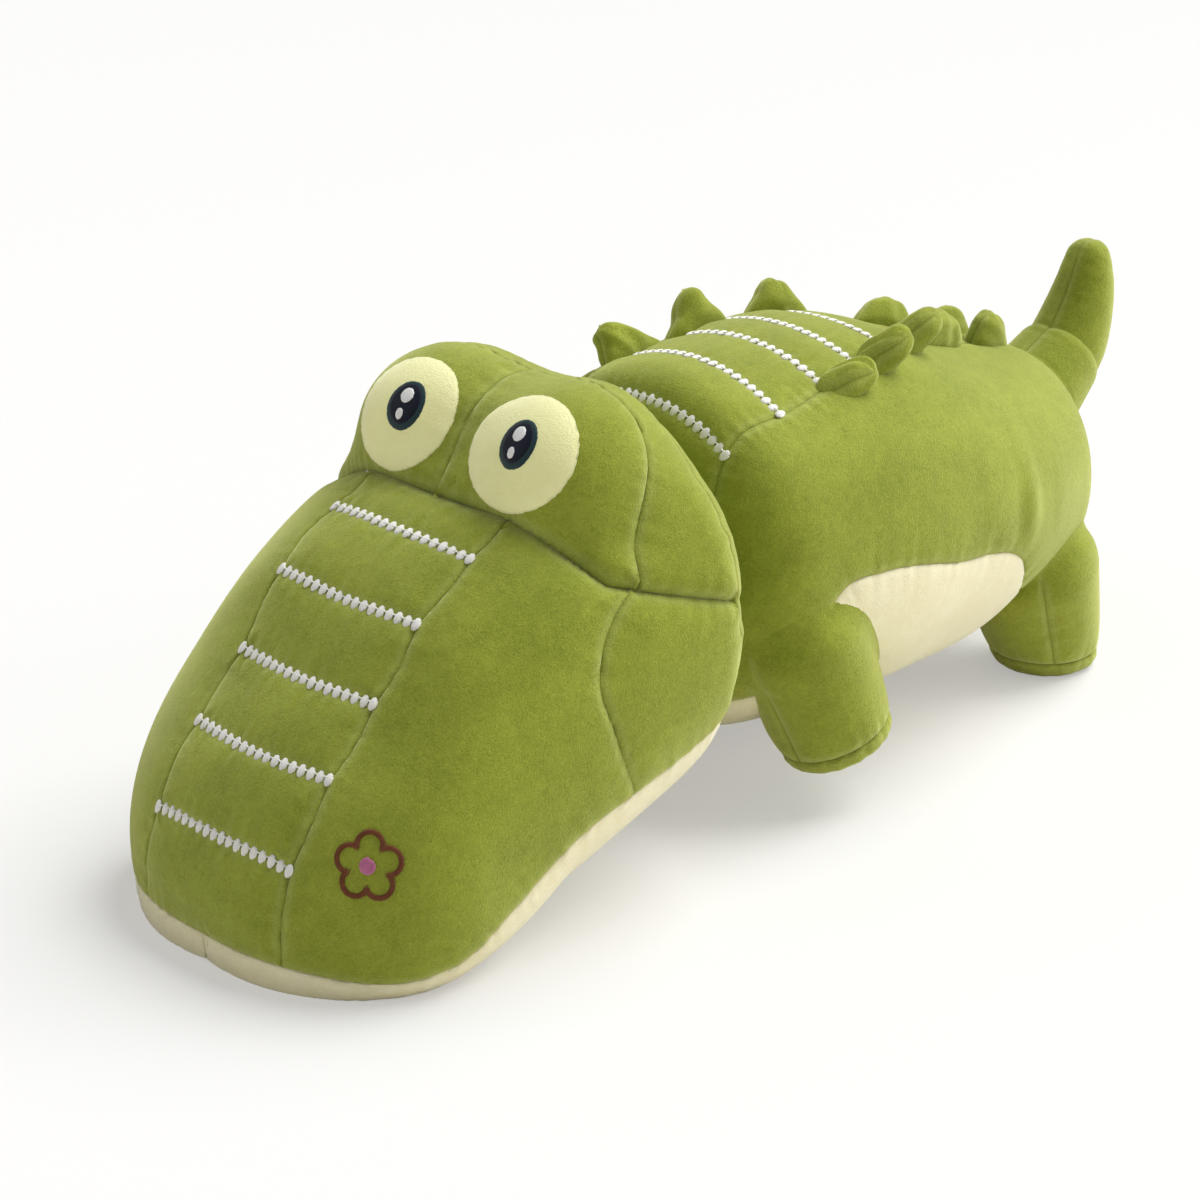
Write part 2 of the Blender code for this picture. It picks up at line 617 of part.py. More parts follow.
def make_head(form, joint):
    """The head's stuffing, its eleven panels and the hollow for the neck."""
    filling = place("head_stuffing", inset(form), FILLING, joint)
    seams = (
        (0, chin_field, 1),
        (0, lambda p: p.x, 2),
        (1, lambda p: along_of(p) - NAPE_SEAM_ALONG, 3),
        (1, brow_field, 4),
        (1, lambda p: abs(p.x) - SNOUT_PANEL_HALF, 5),
        (5, lambda p: p.x, 6),
        (5, cheek_field, 7),
        (6, cheek_field, 8),
        (4, crown_field, 9),
        (4, lambda p: p.x, 10),
    )
    names = ("chin_panel_right", "snout_top_panel", "chin_panel_left", "nape_panel", "brow_panel_right",
             "snout_side_panel_right", "snout_side_panel_left", "cheek_panel_right", "cheek_panel_left",
             "crown_panel", "brow_panel_left")
    colours = [CREAM if "chin" in name else GREEN for name in names]
    parts = covers(form, seams, names, colours, joint)
    hollow = pocket("neck_hollow_in_head", joint.location, BACKWARD, NECK_RADIUS)
    for part in (filling, parts["nape_panel"], parts["chin_panel_left"], parts["chin_panel_right"]):
        subtract(part, hollow)


def make_neck(joint):
    """The round plug of stuffing that fills both neck openings."""
    rings = ball_rings(joint.location, BACKWARD, NECK_RADIUS, 1, 2 * BALL_STEPS - 1)
    ends = joint.location - BACKWARD * NECK_RADIUS, joint.location + BACKWARD * NECK_RADIUS
    place("neck_stuffing", skin(rings, *ends), FILLING, joint)


def make_body(form, hollows):
    """The body's stuffing and its four panels, with the hollows for the neck, legs and tail."""
    filling = place("body_stuffing", inset(form), FILLING)
    seams = (
        (0, back_field, 1),
        (1, belly_field, 2),
        (1, lambda p: p.x, 3),
    )
    names = ("back_panel", "flank_panel_right", "belly_panel", "flank_panel_left")
    colours = (GREEN, GREEN, CREAM, GREEN)
    parts = covers(form, seams, names, colours, None)
    for hollow, touched in hollows:
        for part in [filling] + [parts[name] for name in touched]:
            subtract(part, hollow)


def make_leg(name, root, foot, sole_way, joint):
    """One stuffed leg with a round root, and the low cushion of its sole. Gives the leg's hollow."""
    way = (foot - root).normalized()
    end = foot - sole_way * (SOLE_HEIGHT + SEAM_GAP)
    rings = ball_rings(root, way, LEG_ROOT_RADIUS, 1, BALL_STEPS)
    for share in LEG_RING_SHARES:
        radius = LEG_ROOT_RADIUS + (LEG_FOOT_RADIUS - LEG_ROOT_RADIUS) * share
        rings.append(ring_round(root.lerp(end, share), way, radius))
    rings.append(ring_round(end, sole_way, LEG_FOOT_RADIUS))
    place(name, skin(rings, root - way * LEG_ROOT_RADIUS, end), GREEN, joint)
    rings = []
    for rise, breadth in SOLE_RING_SHARES:
        rings.append(ring_round(foot - sole_way * (SOLE_HEIGHT * rise), sole_way, LEG_FOOT_RADIUS * breadth))
    place(name + "_sole", skin(rings, foot - sole_way * SOLE_HEIGHT, foot), GREEN, joint)
    return pocket(name + "_hollow", root, way, LEG_ROOT_RADIUS, LEG_SWING, 2 * LEG_ROOT_RADIUS)


def make_tail(base_joint, tip_joint):
    """The tail in its two lengths, from the rump to the crease and from the crease to the tip."""
    root, crease = base_joint.location, tip_joint.location
    back = crease + Vector((0, TAIL_BACK_REACH, TAIL_BACK_RISE))
    tip = back + Vector((0, TAIL_TIP_REACH, TAIL_TIP_RISE))
    way = (crease - root).normalized()
    end_way = (back - crease).normalized()
    point_way = (tip - back).normalized()
    end_radius = TAIL_CREASE_RADIUS + 2 * CLOTH
    rings = ball_rings(root, way, TAIL_ROOT_RADIUS, 1, BALL_STEPS)
    rings += [ring_round((root + crease) / 2, way, (TAIL_ROOT_RADIUS + end_radius) / 2),
              ring_round(crease, way, end_radius)]
    base = place("tail_base", skin(rings, root - way * TAIL_ROOT_RADIUS, crease), GREEN, base_joint)
    hollow = pocket("tail_tip_hollow", crease, end_way, TAIL_CREASE_RADIUS, TAIL_BEND, TAIL_CREASE_RADIUS)
    subtract(base, hollow)
    rings = ball_rings(crease, end_way, TAIL_CREASE_RADIUS, 1, BALL_STEPS)
    rings += [ring_round(back, point_way, TAIL_BACK_RADIUS),
              ring_round(tip - point_way * TAIL_TIP_RADIUS, point_way, TAIL_TIP_RADIUS),
              ring_round(tip - point_way * (TAIL_TIP_RADIUS / 4), point_way, TAIL_TIP_RADIUS * 2 / 3)]
    place("tail_tip", skin(rings, crease - end_way * TAIL_CREASE_RADIUS, tip), GREEN, tip_joint)
    return pocket("tail_hollow", root, way, TAIL_ROOT_RADIUS, TAIL_WAG, TAIL_ROOT_RADIUS)


def make_spike(name, tree, start, end, height, side, lean_out, lean_back):
    """One spike: a small stuffed cap of two layers, sewn into the seam along the back."""
    middle, half = (start + end) / 2, (end - start) / 2
    body_middle = (side * back_half(middle), middle, BODY_AXIS_HEIGHT)
    middle_feet, middle_outs = lay_on(body_field, body_middle, UP)
    out = middle_outs[0]
    outward = np.cross((0, side, 0), out)
    up = out + lean_out * outward + lean_back * np.array([0, 1, 0])
    up /= np.linalg.norm(up)
    across = np.cross((0, 1, 0), up)
    turns = 2 * math.pi * np.arange(SPIKE_AROUND) / SPIKE_AROUND
    rings = []
    for row, breadth, thick in zip(SPIKE_ROW_SHARES, SPIKE_BREADTH_SHARES, SPIKE_THICK_SHARES):
        along = middle + half * breadth * np.cos(turns)
        depth = max(SPIKE_THICK * thick, SPIKE_HEM) / 2 * np.sin(turns)
        x = side * back_half(along) + across[0] * depth
        feet, outs = lay_on(body_field, np.stack([x, along, np.full(len(x), BODY_AXIS_HEIGHT)], -1), UP)
        lift = up * (height * row) + np.outer(depth * (row > 0), (0, 0, across[2]))
        rings.append(on_facets(tree, feet, outs) + outs * SPIKE_GAP + lift)
    base = on_facets(tree, middle_feet, middle_outs)[0] + out * SPIKE_GAP
    tip = np.mean(rings[-1], axis=0)
    tip = tip + (tip - np.mean(rings[-2], axis=0)) / 3
    place(name, skin(rings, base, tip), GREEN)


def make_row(name, tree, field, axis_points, joint):
    """A sewn row of oval beads on its thread, laid on a form above a line of points inside it."""
    feet, outs = lay_on(field, axis_points + np.array([0, 0, REACH_IN]), UP)
    lengths = np.append(0, np.cumsum(np.linalg.norm(np.diff(feet, axis=0), axis=1)))
    count = int(lengths[-1] / BEAD_PITCH)
    stops = np.linspace(0, lengths[-1], 2 * count + 1)
    feet = np.stack([np.interp(stops, lengths, feet[:, i]) for i in range(3)], -1)
    outs = np.stack([np.interp(stops, lengths, outs[:, i]) for i in range(3)], -1)
    runs = np.gradient(feet, axis=0)
    overs = np.cross(outs, runs)
    overs /= np.linalg.norm(overs, axis=1, keepdims=True)
    centres = on_facets(tree, feet, outs) + outs * (LAY_GAP + BEAD_HALF_THICK)
    rings = []
    for index in range(1, len(stops) - 1):
        breadth = BEAD_HALF_BREADTH if index % 2 else THREAD_HALF_BREADTH
        centre, over, out = centres[index], overs[index] * breadth, outs[index] * BEAD_HALF_THICK
        rings.append([centre - over, centre - out, centre + over, centre + out])
    place(name, skin(rings, centres[0], centres[-1]), SILVER, joint, THREAD_ROUGHNESS)


def make_rows(head_tree, body_tree, head_joint):
    """The rows of beads across the snout and across the back."""
    across = np.linspace(-1, 1, ROW_POINTS)
    for number, (share, bow) in enumerate(zip(SNOUT_ROW_SHARES, SNOUT_BOW_SHARES), 1):
        along = HEAD_LENGTH * (share + bow * across ** 2)
        x = (SNOUT_PANEL_HALF - ROW_END_MARGIN) * across
        points = np.stack([x, along, head_axis(along)], -1)
        make_row("snout_bead_row_%d" % number, head_tree, head_field, points, head_joint)
    for number, share in enumerate(BACK_ROW_SHARES, 1):
        along = BODY_START + share * (BODY_END - BODY_START) + 0 * across
        x = (back_half(along) - ROW_END_MARGIN) * across
        points = np.stack([x, along, body_section(along)[2]], -1)
        make_row("back_bead_row_%d" % number, body_tree, body_field, points, None)


def make_patch(name, form, centre, across, over, edge, lift, thick, colour, joint, roughness=CLOTH_ROUGHNESS):
    """A thin patch that follows the form, where edge, given places across and over, is above zero."""
    mesh = form.copy()
    layer, depth_layer = carry_normals(mesh)
    centre, across, over = Vector(toy_frame(centre)), Vector(across), Vector(over)
    facing = across.cross(over)

    def field(point):
        offset = point - centre
        return min(edge(offset.dot(across), offset.dot(over)), REACH_IN - abs(offset.dot(facing)))

    for _ in range(REFINEMENTS):
        coarse = []
        for item in mesh.edges:
            length = item.calc_length()
            middle = (item.verts[0].co + item.verts[1].co) / 2
            if length > edge(None, None) and abs(field(middle)) < length:
                coarse.append(item)
        bmesh.ops.subdivide_edges(mesh, edges=coarse, cuts=1)
        bmesh.ops.triangulate(mesh, faces=mesh.faces)
    cut(mesh, layer, 0, field)
    for face in mesh.faces:
        face[layer] = sum(field(vert.co) for vert in face.verts) > 0
    place(name, panel(mesh, layer, depth_layer, 1, lift + thick, lift), colour, joint, roughness)
    mesh.free()


def oval(half_width, half_height):
    """The edge of an oval patch, in metres inside it. Asked with no place, it gives how fine the edge is."""
    def edge(u, v):
        if u is None:
            return min(half_width, half_height) * PATCH_STEP_SHARE
        return (1 - math.hypot(u / half_width, v / half_height)) * min(half_width, half_height)
    return edge


def petals(u, v):
    """The edge of the flower's outline, in metres inside its cord."""
    if u is None:
        return MOTIF_RADIUS * MOTIF_STEP_SHARE
    radius = MOTIF_RADIUS + MOTIF_WAVE * math.cos(MOTIF_PETALS * math.atan2(u, v))
    return MOTIF_CORD_HALF - abs(math.hypot(u, v) - radius)


def make_eyes(form, joint):
    """Each eye: a cream patch on its dome, with an embroidered pupil and two glints."""
    across = (1, 0, 0)
    over = np.array([0, math.sin(EYE_FACE_TILT), math.cos(EYE_FACE_TILT)])
    for side, word in ((-1, "right"), (1, "left")):
        centre = np.array([side * EYE_PATCH_SIDE, EYE_PATCH_ALONG, EYE_PATCH_HEIGHT])
        make_patch("eye_patch_" + word, form, centre, across, over, oval(EYE_PATCH_RADIUS, EYE_PATCH_RADIUS),
                   LAY_GAP, EYE_PATCH_THICK, EYE_CREAM, joint)
        centre = np.array([side * PUPIL_SIDE, PUPIL_ALONG, PUPIL_HEIGHT])
        lift = 2 * LAY_GAP + EYE_PATCH_THICK
        edge = oval(PUPIL_HALF_WIDTH, PUPIL_HALF_HEIGHT)
        make_patch("pupil_" + word, form, centre, across, over, edge, lift, PUPIL_THICK, NAVY, joint,
                   SATIN_ROUGHNESS)
        lift += PUPIL_THICK + LAY_GAP
        edge = oval(GLINT_RADIUS, GLINT_RADIUS)
        make_patch("glint_" + word, form, centre + over * GLINT_RISE, across, over, edge, lift, GLINT_THICK,
                   WHITE, joint, SATIN_ROUGHNESS)
        edge = oval(SMALL_GLINT_RADIUS, SMALL_GLINT_RADIUS)
        make_patch("small_glint_" + word, form, centre - over * SMALL_GLINT_DROP, across, over, edge, lift,
                   GLINT_THICK, WHITE, joint, SATIN_ROUGHNESS)


def make_motif(form, joint):
    """An embroidered flower on the snout's left side: a five-petal outline and a round centre."""
    feet, outs = lay_on(head_field, (MOTIF_SIDE, MOTIF_ALONG, MOTIF_HEIGHT), (1, -1, 0))
    across = np.cross((0, 0, 1), outs[0])
    across /= np.linalg.norm(across)
    over = np.cross(outs[0], across)
    make_patch("flower_outline", form, feet[0], across, over, petals, LAY_GAP, MOTIF_THICK, BROWN, joint,
               THREAD_ROUGHNESS)
    edge = oval(MOTIF_CENTRE_RADIUS, MOTIF_CENTRE_RADIUS)
    make_patch("flower_centre", form, feet[0], across, over, edge, LAY_GAP, MOTIF_THICK, PINK, joint,
               THREAD_ROUGHNESS)


def make_legs():
    """The four legs. The front ones hang just clear of the floor, and the rear ones stand on it."""
    hollows = []
    for side, word in ((-1, "right"), (1, "left")):
        root = Vector(toy_frame((side * FRONT_LEG_SIDE, FRONT_LEG_ALONG, FRONT_LEG_HEIGHT)))
        foot = Vector(toy_frame((side * FRONT_FOOT_SIDE, FRONT_FOOT_ALONG, FRONT_FOOT_HEIGHT)))
        joint = joint_empty("front_leg_joint_" + word, root)
        hollow = make_leg("front_leg_" + word, root, foot, (foot - root).normalized(), joint)
        hollows.append((hollow, ("belly_panel", "flank_panel_" + word)))
        root = Vector(toy_frame((side * REAR_LEG_SIDE, REAR_LEG_ALONG, REAR_LEG_HEIGHT)))
        foot = Vector(toy_frame((side * REAR_LEG_SIDE, REAR_FOOT_ALONG, 0)))
        joint = joint_empty("rear_leg_joint_" + word, root)
        hollow = make_leg("rear_leg_" + word, root, foot, -UP, joint)
        hollows.append((hollow, ("belly_panel", "flank_panel_" + word)))
    return hollows


def main():
    for item in list(bpy.data.objects):
        bpy.data.objects.remove(item, do_unlink=True)
    neck = joint_empty("neck_joint", toy_frame((0, NECK_ALONG, NECK_HEIGHT)))
    head, body = head_form(), body_form()
    head_tree, body_tree = BVHTree.FromBMesh(head), BVHTree.FromBMesh(body)
    make_neck(neck)
    make_eyes(head, neck)
    make_motif(head, neck)
    make_rows(head_tree, body_tree, neck)
    make_head(head, neck)
    hollows = [(pocket("neck_hollow_in_body", neck.location, BACKWARD, NECK_RADIUS),
                ("back_panel", "belly_panel", "flank_panel_left", "flank_panel_right"))]
    hollows += make_legs()
    root = Vector(toy_frame((0, TAIL_ROOT_ALONG, TAIL_ROOT_HEIGHT)))
    tail_base = joint_empty("tail_base_joint", root)
    tail_tip = joint_empty("tail_tip_joint", root + Vector((0, TAIL_CREASE_REACH, TAIL_CREASE_RISE)))
    hollows.append((make_tail(tail_base, tail_tip), ("back_panel", "flank_panel_left", "flank_panel_right")))
    make_body(body, hollows)
    length = BODY_END - BODY_START
    for word, side, table in (("right", -1, RIGHT_SPIKE_SHARES), ("left", 1, LEFT_SPIKE_SHARES)):
        for number, (start, end, height, lean_out, lean_back) in enumerate(table, 1):
            make_spike("spike_%s_%d" % (word, number), body_tree, BODY_START + start * length,
                       BODY_START + end * length, height * length, side, lean_out, lean_back)


main()
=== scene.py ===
import math

import bpy
import numpy as np
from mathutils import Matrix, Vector
from mathutils.bvhtree import BVHTree
from mathutils.kdtree import KDTree


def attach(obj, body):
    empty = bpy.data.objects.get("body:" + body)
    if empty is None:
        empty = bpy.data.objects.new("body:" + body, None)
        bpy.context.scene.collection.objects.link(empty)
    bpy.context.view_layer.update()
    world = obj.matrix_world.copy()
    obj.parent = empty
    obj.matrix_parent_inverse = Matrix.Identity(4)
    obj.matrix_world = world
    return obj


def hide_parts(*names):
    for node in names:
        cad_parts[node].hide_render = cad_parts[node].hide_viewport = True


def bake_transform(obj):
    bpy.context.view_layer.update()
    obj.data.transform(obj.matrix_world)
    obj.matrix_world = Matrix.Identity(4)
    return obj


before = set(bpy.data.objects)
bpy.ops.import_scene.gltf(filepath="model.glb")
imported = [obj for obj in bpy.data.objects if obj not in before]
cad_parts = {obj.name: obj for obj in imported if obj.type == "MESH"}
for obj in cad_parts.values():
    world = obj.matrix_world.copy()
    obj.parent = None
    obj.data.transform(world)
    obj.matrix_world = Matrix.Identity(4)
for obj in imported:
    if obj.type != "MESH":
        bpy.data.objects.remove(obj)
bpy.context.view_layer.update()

# ----------------------------------------------------------
# The studio: a white sweep under a broad window light from above and behind, two weak lamps, and the
# camera of the picture, which looks down on the toy's left front corner through a long lens.
# ----------------------------------------------------------
scene = bpy.context.scene
scene.view_settings.view_transform = "Standard"

CAMERA_TARGET = Vector((-0.208, 0.12525, 0.0))
CAMERA_AZIMUTH = math.radians(45.0)
CAMERA_ELEVATION = math.radians(22.5)
CAMERA_DISTANCE = 2.3

camera = bpy.data.objects.new("camera", bpy.data.cameras.new("camera"))
camera.data.sensor_width = 36.0
camera.data.lens = 102.0
camera_way = Vector((math.sin(CAMERA_AZIMUTH) * math.cos(CAMERA_ELEVATION),
                     -math.cos(CAMERA_AZIMUTH) * math.cos(CAMERA_ELEVATION), math.sin(CAMERA_ELEVATION)))
camera.location = CAMERA_TARGET + camera_way * CAMERA_DISTANCE
camera.rotation_euler = camera_way.to_track_quat("Z", "Y").to_euler()
scene.collection.objects.link(camera)
scene.camera = camera


class Wire:
    """A value or colour on its way through a tree of nodes. Sums written on it become Math nodes."""

    def __init__(self, tree, socket):
        self.tree, self.socket = tree, socket

    def sum(self, operation, first, second):
        return self.tree.add("ShaderNodeMath", {"operation": operation}, {0: first, 1: second})

    def __add__(self, other):
        return self.sum("ADD", self, other)

    def __radd__(self, other):
        return self.sum("ADD", other, self)

    def __sub__(self, other):
        return self.sum("SUBTRACT", self, other)

    def __rsub__(self, other):
        return self.sum("SUBTRACT", other, self)

    def __mul__(self, other):
        return self.sum("MULTIPLY", self, other)

    def __rmul__(self, other):
        return self.sum("MULTIPLY", other, self)


class Tree:
    """A tree of nodes, with one method that adds any node to it."""

    def __init__(self, nodes):
        self.nodes = nodes

    def add(self, kind, settings=None, inputs=None, output=0):
        node = self.nodes.nodes.new(kind)
        for key, value in (settings or {}).items():
            if key == "stops":
                while len(node.color_ramp.elements) < len(value):
                    node.color_ramp.elements.new(0.5)
                for element, (place, colour) in zip(node.color_ramp.elements, value):
                    element.position = place
                    element.color = colour
            else:
                setattr(node, key, value)
        for key, value in (inputs or {}).items():
            if isinstance(value, Wire):
                self.nodes.links.new(value.socket, node.inputs[key])
            else:
                node.inputs[key].default_value = value
        return Wire(self, node.outputs[output]) if len(node.outputs) else node

    def mixed(self, share, first, second):
        return self.add("ShaderNodeMix", {"data_type": "RGBA"}, {0: share, 6: first, 7: second}, 2)

    def noise(self, place, scale, detail, distortion=0.0):
        return self.add("ShaderNodeTexNoise", inputs={"Vector": place, "Scale": scale, "Detail": detail,
                                                      "Distortion": distortion})


def new_material(name):
    material = bpy.data.materials.new(name)
    material.use_nodes = True
    material.node_tree.nodes.clear()
    return material, Tree(material.node_tree)


SWEEP_REACH = 6.0
SWEEP_LIT, SWEEP_SEEN = (0.82, 0.80, 0.74, 1), (0.44, 0.44, 0.435, 1)
GLOW_COLOUR, GLOW_STRENGTH = (1, 0.985, 0.965, 1), 0.385
SKY_LIGHT, SKY_GLARE = 0.34, 0.64
WINDOW_WAY, WINDOW_ENERGY, WINDOW_ANGLE = (0.25, 1.45, 2.0), 3.75, 0.75
LAMP_SIZE = 1.4
LAMPS = (
    ("back_lamp", (1.9, 2.2, 1.1), (0, 0.1, 0.1), 22.0),
    ("front_lamp", (-1.6, -2.0, 1.7), (0, -0.1, 0.1), 6.0),
)

floor_material, floor_tree = new_material("white_sweep")
seen = floor_tree.add("ShaderNodeLightPath", output="Is Camera Ray")
paper = floor_tree.mixed(seen, SWEEP_LIT, SWEEP_SEEN)
white = floor_tree.add("ShaderNodeBsdfDiffuse", inputs={"Color": paper})
glow = floor_tree.add("ShaderNodeEmission", inputs={"Color": GLOW_COLOUR, "Strength": seen * GLOW_STRENGTH})
both = floor_tree.add("ShaderNodeAddShader", inputs={0: white, 1: glow})
floor_tree.add("ShaderNodeOutputMaterial", inputs={"Surface": both})
floor_mesh = bpy.data.meshes.new("floor")
corners = [(x * SWEEP_REACH, y * SWEEP_REACH, 0) for x, y in ((-1, -1), (1, -1), (1, 1), (-1, 1))]
floor_mesh.from_pydata(corners, [], [(0, 1, 2, 3)])
floor = bpy.data.objects.new("floor", floor_mesh)
floor_mesh.materials.append(floor_material)
scene.collection.objects.link(floor)

world = bpy.data.worlds.new("studio")
world.use_nodes = True
world.node_tree.nodes.clear()
sky = Tree(world.node_tree)
rays = sky.add("ShaderNodeLightPath", output="Is Camera Ray")
brightness = rays * SKY_GLARE + SKY_LIGHT
air = sky.add("ShaderNodeBackground", inputs={"Color": (1, 1, 1, 1), "Strength": brightness})
sky.add("ShaderNodeOutputWorld", inputs={"Surface": air})
scene.world = world

window = bpy.data.objects.new("window", bpy.data.lights.new("window", "SUN"))
window.data.energy = WINDOW_ENERGY
window.data.angle = WINDOW_ANGLE
window.rotation_euler = Vector(WINDOW_WAY).to_track_quat("Z", "Y").to_euler()
scene.collection.objects.link(window)
for name, place, aim, power in LAMPS:
    lamp = bpy.data.objects.new(name, bpy.data.lights.new(name, "AREA"))
    lamp.data.size = LAMP_SIZE
    lamp.data.energy = power
    lamp.location = place
    lamp.rotation_euler = (Vector(place) - Vector(aim)).to_track_quat("Z", "Y").to_euler()
    scene.collection.objects.link(lamp)

# ----------------------------------------------------------
# The head: one firm stuffed form with a broad flat snout and two eye domes. Its cover is sewn from
# eleven panels of short-pile plush, and every seam lies in a fine valley that the cloth swells beside.
# ----------------------------------------------------------
TOY_MIDDLE = 0.38675
HEAD_LENGTH = 0.322
HEAD_HALF_WIDTH = 0.145
HEAD_HEIGHT = 0.245
HEAD_PLACES = (0.0, 0.124, 0.248, 0.342, 0.466, 0.559, 0.7, 0.776, 0.87, 1.0)
HEAD_WIDTHS = (0.9, 0.9, 0.9, 0.91, 0.93, 0.95, 0.985, 1.0, 1.0, 0.93)
HEAD_AXIS = (0.122, 0.143, 0.184, 0.237, 0.335, 0.408, 0.514, 0.563, 0.6, 0.612)
HEAD_TOPS = (0.143, 0.298, 0.429, 0.522, 0.531, 0.514, 0.475, 0.46, 0.45, 0.41)
HEAD_BOTTOMS = (0.17, 0.19, 0.236, 0.285, 0.355, 0.395, 0.43, 0.44, 0.41, 0.35)
CHIN_PLACES = (0.0, 0.155, 0.248, 0.342, 0.497, 0.621, 0.745, 0.87, 1.0)
CHIN_EDGES = (0.065, 0.045, 0.075, 0.15, 0.27, 0.327, 0.367, 0.41, 0.45)
CHEEK_HEIGHTS = (0.25, 0.33, 0.39, 0.49, 0.616, 0.74, 0.8)
CHEEK_ALONGS = (0.62, 0.606, 0.584, 0.559, 0.543, 0.6, 0.66)
CROWN_HEIGHTS = (0.78, 0.857, 0.95, 1.033, 1.1, 1.2)
CROWN_ALONGS = (0.66, 0.678, 0.722, 0.76, 0.776, 0.776)
EYE_DOME = (0.048, 0.238, 0.2265, 0.056)
EYE_DOME_BLEND = 0.022
BROW_HOLLOW = 0.0216
SNOUT_PANEL_HALF = 0.055
SNOUT_ROWS = ((0.046, 0.012), (0.132, 0.018), (0.232, 0.016), (0.33, 0.016), (0.456, 0.013))
GREEN = ((0.17, 0.205, 0.016, 1), (0.34, 0.385, 0.045, 1), (0.70, 0.72, 0.34, 1))
CREAM = ((0.80, 0.72, 0.43, 1), (0.95, 0.90, 0.64, 1), (0.96, 0.94, 0.80, 1))
HEAD_RADII = ((HEAD_WIDTHS, HEAD_HALF_WIDTH, 0.28), (HEAD_TOPS, HEAD_HEIGHT, 0.12),
              (HEAD_BOTTOMS, HEAD_HEIGHT, 0.03))
HEAD_REAR_ROUNDING = 0.2
HEAD_REACH = 0.25
HEAD_ROUNDNESS, CHIN_FLATNESS, CROWN_FLATNESS = 2.25, 2.35, 0.5
NAPE_PLACE = 0.277
BROW_FRONT, BROW_SIDE = (0.173, 0.227, 0.8), (0.205, 0.194, 0.33)
BROW_FOLD, BROW_FOLD_ABOVE, BROW_FOLD_BELOW, BROW_FOLD_LOWEST = 0.0024, 0.004, 0.013, 0.15
CHEEK_FOLDS = ((0.295, 0.022), (0.1, 0.04))
FOLD_HEIGHT = 0.0009
SEAM_DEPTH, SEAM_WIDTH = 0.0009, 0.0012
FINE_SEAM, FAINT_SEAM, NAPE_SEAM = 0.0008, 0.0006, 0.0015
BROW_SEAM_DEPTH, BROW_SEAM_WIDTH = 0.0036, 0.0045
VALLEY_DEPTH, VALLEY_WIDTH, VALLEY_INSET = 0.0014, 0.004, 0.003
SNOUT_SCALLOP = 0.0024
COVER_PUFF, COVER_PUFF_REACH = 0.0018, 0.011
PUCKER, PUCKER_SIZE, PUCKER_REACH = 0.0006, 0.008, 0.009
CREASE_REACH = 0.002
CLOTH_THICKNESS = 0.002


def follow(places, values, at):
    """A smooth curve through (place, value) pairs, read at the places asked for."""
    places, values = np.asarray(places, float), np.asarray(values, float)
    slopes = np.gradient(values, places)
    index = np.clip(np.searchsorted(places, at) - 1, 0, len(places) - 2)
    span = places[index + 1] - places[index]
    t = np.clip((at - places[index]) / span, 0, 1)
    low = values[index] * (1 + 2 * t) * (1 - t) ** 2 + slopes[index] * span * t * (1 - t) ** 2
    high = values[index + 1] * t * t * (3 - 2 * t) + slopes[index + 1] * span * t * t * (t - 1)
    return low + high


def round_end(distance, length):
    """From 0 at the end of a form to 1 where its rounding stops."""
    return np.sqrt(1 - (1 - np.clip(distance / length, 0, 1)) ** 2)


def section_radius(angle, width, top, bottom, top_roundness, bottom_roundness):
    upper = np.sin(angle) > 0
    roundness = np.where(upper, top_roundness, bottom_roundness)
    across = np.abs(np.cos(angle)) / np.maximum(width, 1e-5)
    up = np.abs(np.sin(angle)) / np.maximum(np.where(upper, top, bottom), 1e-5)
    return (across ** roundness + up ** roundness) ** (-1 / roundness)


def softly_joined(first, second, blend):
    """The depth outside two forms that run into each other like dough."""
    near = np.clip(0.5 + 0.5 * (second - first) / blend, 0, 1)
    return second + (first - second) * near - blend * near * (1 - near)


def head_axis(along):
    return follow(HEAD_PLACES, HEAD_AXIS, along / HEAD_LENGTH) * HEAD_HEIGHT


def head_outside(x, along, z):
    """How far a point lies outside the head, below zero within it."""
    share = along / HEAD_LENGTH
    rise = z - head_axis(along)
    rear = round_end(HEAD_LENGTH - along, HEAD_LENGTH * HEAD_REAR_ROUNDING)
    width, top, bottom = [
        follow(HEAD_PLACES, values, share) * unit * rear * round_end(along, HEAD_LENGTH * rounding)
        for values, unit, rounding in HEAD_RADII]
    chin = HEAD_ROUNDNESS + CHIN_FLATNESS * np.clip(1 - share / 0.5, 0, 1)
    crown = HEAD_ROUNDNESS + CROWN_FLATNESS * np.clip(share, 0, 1)
    base = np.hypot(x, rise) - section_radius(np.arctan2(rise, x), width, top, bottom, crown, chin)
    side, place, height, radius = EYE_DOME
    beside = np.where(np.abs(x) < side, BROW_HOLLOW * ((x / side) ** 2 - 1), np.abs(x) - side)
    dome = np.sqrt(beside ** 2 + (along - place) ** 2 + (z - height) ** 2) - radius
    return softly_joined(base, dome, EYE_DOME_BLEND)


def last_inside(inside, low, high, steps=28):
    """The last place between low and high that is still inside, found by halving."""
    for _ in range(steps):
        middle = (low + high) / 2
        held = inside(middle)
        low, high = np.where(held, middle, low), np.where(held, high, middle)
    return low


def head_surface(where):
    """Points of the head's surface, from places along it and ways round it."""
    along, angle = where[:, 0], np.arctan2(where[:, 2], where[:, 1])
    axis = head_axis(along)
    radius = last_inside(lambda r: head_outside(r * np.cos(angle), along, axis + r * np.sin(angle)) < 0,
                         0 * along, 0 * along + HEAD_REACH)
    return np.stack([radius * np.cos(angle), along, np.maximum(axis + radius * np.sin(angle), 0)], -1)


def crowded_ends(shares, amount):
    """Stations from 0 to 1 that lie closer together towards both ends."""
    return shares - amount * np.sin(2 * math.pi * shares) / (2 * math.pi)


